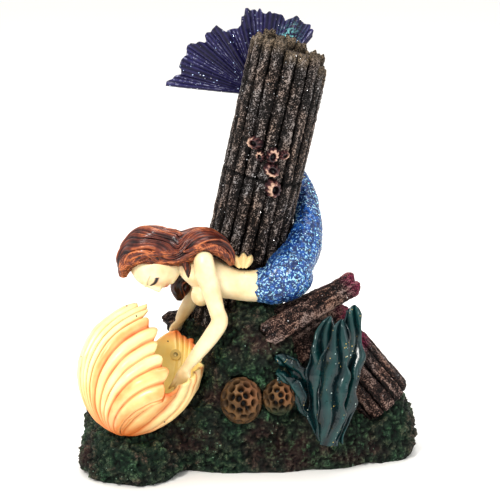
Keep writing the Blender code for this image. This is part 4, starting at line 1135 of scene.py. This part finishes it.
def makeBarnacles(shape):
    # a cone turned about its own axis: the profile climbs the wall, rolls over a lip and dives
    # into the mouth, with ridges that flute the wall
    for i in range(1, 7):
        node = f"barnacle_{i}"
        points = nodePoints(node)
        middle = (points.min(0) + points.max(0)) / 2
        rel = middle - postFoot
        out = unit(rel - postAxis * (rel @ postAxis))
        spread = points - middle
        reach = (spread @ out).max()
        size = np.abs(spread @ postAxis).max()
        path, t, turn = throughRows(shape["profile"], 40), steps(40), circle(54)
        flute = np.abs(np.sin(turn * shape["ridges"] / 2 + i)) ** 0.6
        wall = np.clip(1 - np.abs(t - 0.3) * 2.2, 0, 1)
        radius = path[:, :1] * size * (1 + 0.16 * (flute - 0.5) * wall * 2
                                       + 0.10 * np.sin(turn * 2 + i * 1.7))
        across = unit(np.cross(out, postAxis))
        up = np.cross(out, across)
        rings = (middle + out * (path[:, 1] * reach)[:, None, None]
                 + across * (radius * np.cos(turn))[..., None]
                 + up * (radius * np.sin(turn))[..., None])
        rings = rings + out * (0.24 * size * np.sin(turn + i * 2.3)
                               * np.clip(path[:, 1:], 0, 1))[..., None]
        made, faces = closedTube(rings)
        hole = np.clip((t - 0.86) * 9, 0, 1) + 0 * turn
        # painted highlight: the lip is paler on one side only
        lit = 0.5 + 0.5 * np.sin(turn + 1.3 * i)
        ridge = np.clip(0.10 + 0.55 * flute * wall
                        + 0.85 * lit * bump(path[:, 1:] - 0.9, 0.6), 0, 1)
        addPiece(f"barnacle{i}", meshOf(f"barnacle{i}", made, faces), finishes["barnacle"],
                 "painted_barnacle", [node], ridge=onTube(ridge, 0.2), hole=onTube(hole, 0.0, 1.0))


makeBarnacles(barnacleShape)
print("barnacles done")


# sponges: how many holes, and how wide each is beside their pitch
spongeShape = {"sponge_large": (74, 0.96), "sponge_small": (58, 0.94)}


def makeSponge(node, holes, spacing):
    # an oval lump whose skin is pierced by holes at the points of an even spiral over a ball
    low, high = nodeBox(node)
    middle, half = (low + high) / 2, (high - low) / 2 + 0.15
    turn, tilt = np.meshgrid(circle(220), np.linspace(-1.55, 1.55, 130))
    ball = np.stack([np.cos(tilt) * np.cos(turn), np.cos(tilt) * np.sin(turn), np.sin(tilt)], -1)
    k = np.arange(holes) + 0.5
    z = 1 - 2 * k / holes
    golden = k * math.pi * (3 - math.sqrt(5))
    spots = np.stack([np.sqrt(1 - z * z) * np.cos(golden), z, np.sqrt(1 - z * z) * np.sin(golden)],
                     -1)
    near = np.sqrt(np.maximum(2 - 2 * (ball @ spots.T).max(-1), 0))
    pitch = math.sqrt(4 * math.pi / holes)
    wobble = 0.05 * smoothNoise(ball * 5, 3)
    depth = np.clip((pitch * spacing * 0.5 + wobble * pitch - near) / (pitch * 0.13), 0, 1)
    depth = eased(depth)
    lift = 0.02 * bump(near - pitch * 0.5, pitch * 0.12)
    rings = middle + ball * half * (1 + lift - 0.34 * depth)[..., None]
    points, faces = closedTube(rings)
    # painted highlight towards the top right of the sponge
    blush = bump(ball[..., 0] - 0.5, 0.5) * bump(ball[..., 2] - 0.45, 0.6)
    # the small sponge is darker green towards its bottom
    mossy = np.clip(-ball[..., 2] * 1.4 - 0.25, 0, 0.85) if node == "sponge_small" else depth * 0
    # the hole mark paints the dimples' floors almost black: painted shade for deep holes
    addPiece(node.replace("_l", "L").replace("_s", "S"), meshOf(node, points, faces),
             finishes["sponge"], "painted_sponge", [node],
             hole=onTube(np.clip(depth * 1.3 - 0.2, 0, 1)), blush=onTube(0.7 * blush),
             mossy=onTube(mossy))


for node, (holes, spacing) in spongeShape.items():
    makeSponge(node, holes, spacing)
print("sponges done")


# kelp: each station is a middle, a half width and a twist in degrees
kelpShape = {
    "kelp_frond_1": ((36.4, -22.0, 14.0, 2.4, 14), (38.4, -21.6, 27.0, 4.0, 30),
                     (40.2, -20.0, 40.0, 4.9, 6), (40.6, -17.6, 53.0, 5.0, -18),
                     (42.6, -14.8, 67.0, 2.3, 8)),
    "kelp_frond_2": ((33.0, -25.0, 13.2, 3.9, 0), (33.6, -25.2, 26.0, 5.2, -18),
                     (34.0, -24.6, 39.0, 5.9, 16), (35.0, -22.2, 50.0, 5.2, -12),
                     (37.6, -19.4, 62.6, 1.8, 0)),
    "kelp_frond_3": ((31.0, -21.4, 14.0, 2.4, -16), (29.6, -21.8, 27.0, 4.4, 20),
                     (29.2, -21.0, 40.0, 5.0, -16), (30.8, -18.6, 51.0, 4.6, 18),
                     (33.4, -15.6, 62.8, 1.6, 0)),
    "kelp_frond_4": ((33.4, -18.4, 14.0, 2.0, 10), (34.2, -18.0, 29.0, 4.4, -10),
                     (36.0, -16.6, 44.0, 5.0, 12), (39.0, -13.8, 61.0, 2.4, 0)),
    "kelp_frond_5": ((28.4, -17.0, 30.0, 2.0, 60), (23.6, -17.6, 39.6, 4.2, 50),
                     (18.4, -16.8, 44.4, 3.8, 62), (12.4, -15.0, 46.2, 0.8, 50)),
    "kelp_frond_6": ((27.4, -18.4, 19.0, 2.0, 50), (23.4, -21.0, 31.0, 3.4, 60),
                     (18.6, -20.4, 38.0, 3.1, 50), (13.0, -18.8, 42.2, 0.8, 50))}


def makeFrond(node, stations, seed):
    # a ribbon carried up its path: u runs across it and t along it. It is folded into long
    # creases and ruffled at both edges
    rows = throughRows(stations, 170)
    u, t = np.linspace(-1, 1, 60), steps(170)
    twist = np.radians(rows[:, 4:5])
    tip = np.clip((1 - t) / 0.07, 0.02, 1) ** 0.6
    ruffle = (1 + 0.16 * np.sin(t * 17 + seed * 2.1 + u) * np.abs(u)
              + 0.06 * np.sin(t * 39 + seed * 2))
    x = rows[:, 3:4] * u * ruffle * tip
    crease = np.abs(np.sin(u * 3.0 + 1.1 * np.sin(t * 5 + seed) + 0.5 * np.sin(t * 13 + seed)))
    y = (2.1 * crease * tip * np.clip(t * 5, 0.2, 1) + 1.6 * u ** 2 * np.sin(t * 13 + seed * 1.7)
         + 0.5 * u * np.sin(t * 29 + seed))
    x, y = x * np.cos(twist) - y * np.sin(twist), x * np.sin(twist) + y * np.cos(twist)
    sheet = carried(rows[:, :3], (1, 0, 0), x, -y)
    wall = 0.62 * (1 - 0.55 * np.abs(u) ** 4) * tip + 0.08 * layeredNoise(sheet / 2.0, 2, seed)
    points, faces = thickened(sheet, -wall)        # the sheet's normals point backwards here
    ridge = np.clip(0.15 + 0.85 * (1 - crease) ** 0.5 * np.ones_like(t), 0, 1)
    name = node.replace("kelp_frond_", "kelpFrond")
    addPiece(name, meshOf(name, points, faces), finishes["kelp"], "gloss_kelp", [node],
             ridge=np.tile(1 - ridge.ravel() * 0.8, 2))


for number, (node, stations) in enumerate(kelpShape.items()):
    makeFrond(node, stations, number + 1)
print("kelp done")


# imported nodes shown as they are
coreFinish = plainFinish("darkTimberCore", (0.060, 0.040, 0.032), 0.6, 1.2)
carriedOver = {
    "post_core": coreFinish, "wreck_core": coreFinish,
    "air_elbow": plainFinish("whiteMouldedPlastic", (0.80, 0.80, 0.78), 0.30, 0.8),
    "bubble_jet": boredFinish("creamJetPlastic", "bubble_jet", (0.84, 0.64, 0.24)),
    "elbow_grommet": plainFinish("softBlackRubber", (0.022, 0.022, 0.024), 0.65, 0.5),
    "air_tube": plainFinish("smokyVinyl", (0.20, 0.23, 0.22), 0.20, 1.5, 0.75)}
for node, finish in carriedOver.items():
    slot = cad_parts[node].material_slots[0]
    slot.link, slot.material = "OBJECT", finish
print("carried-over nodes painted")


# floor, light and camera
stageShape = {
    "floor": 4.0, "target": (0.00234, 0.0, 0.0848), "distance": 0.70, "elevation": 15.0,
    "lens": 129.2, "room": 1.04, "gamma": 0.84, "paper": (0.93, 0.925, 0.915, 1),
    "air": (1.0, 0.985, 0.96, 1),
    "lights": {"keyLight": ((-0.35, -0.65, 0.75), 0.30, 7.0, (1.0, 0.97, 0.92)),
               "fillLight": ((0.7, -0.5, 0.45), 0.6, 1.6, (0.94, 0.97, 1.0)),
               "topLight": ((0.05, 0.25, 0.9), 0.5, 3.0, (1.0, 0.99, 0.97))}}


def addLight(name, place, size, power, colour):
    lamp = bpy.data.lights.new(name, "AREA")
    lamp.shape = "DISK"
    lamp.size, lamp.energy, lamp.color = size, power, colour
    holder = bpy.data.objects.new(name, lamp)
    bpy.context.scene.collection.objects.link(holder)
    holder.location = place
    toTarget = Vector(stageShape["target"]) - holder.location
    holder.rotation_euler = toTarget.to_track_quat("-Z", "Y").to_euler()


def setStage(shape):
    half = shape["floor"] / 2
    mesh = bpy.data.meshes.new("floor")
    mesh.from_pydata([(-half, -half, 0), (half, -half, 0), (half, half, 0), (-half, half, 0)], [],
                     [(0, 1, 2, 3)])
    floor = bpy.data.objects.new("floor", mesh)
    bpy.context.scene.collection.objects.link(floor)
    paint = bpy.data.materials.new("palePaper")
    paint.use_nodes = True
    paper = paint.node_tree.nodes["Principled BSDF"].inputs
    paper["Base Color"].default_value = shape["paper"]
    paper["Roughness"].default_value = 0.7
    mesh.materials.append(paint)
    world = bpy.data.worlds.new("softRoom")
    world.use_nodes = True
    air = world.node_tree.nodes["Background"].inputs
    air["Color"].default_value = shape["air"]
    air["Strength"].default_value = shape["room"]
    bpy.context.scene.world = world
    for name, settings in shape["lights"].items():
        addLight(name, *settings)
    eye = bpy.data.cameras.new("camera")
    eye.lens, eye.sensor_width = shape["lens"], 36.0
    eye.clip_start, eye.clip_end = 0.01, 20.0
    camera = bpy.data.objects.new("camera", eye)
    bpy.context.scene.collection.objects.link(camera)
    tilt = math.radians(shape["elevation"])
    x, y, z = shape["target"]
    camera.location = (x, y - shape["distance"] * math.cos(tilt),
                       z + shape["distance"] * math.sin(tilt))
    camera.rotation_euler = (math.pi / 2 - tilt, 0, 0)
    bpy.context.scene.camera = camera
    bpy.context.scene.view_settings.view_transform = "Standard"
    bpy.context.scene.view_settings.gamma = shape["gamma"]


setStage(stageShape)
print("stage set")
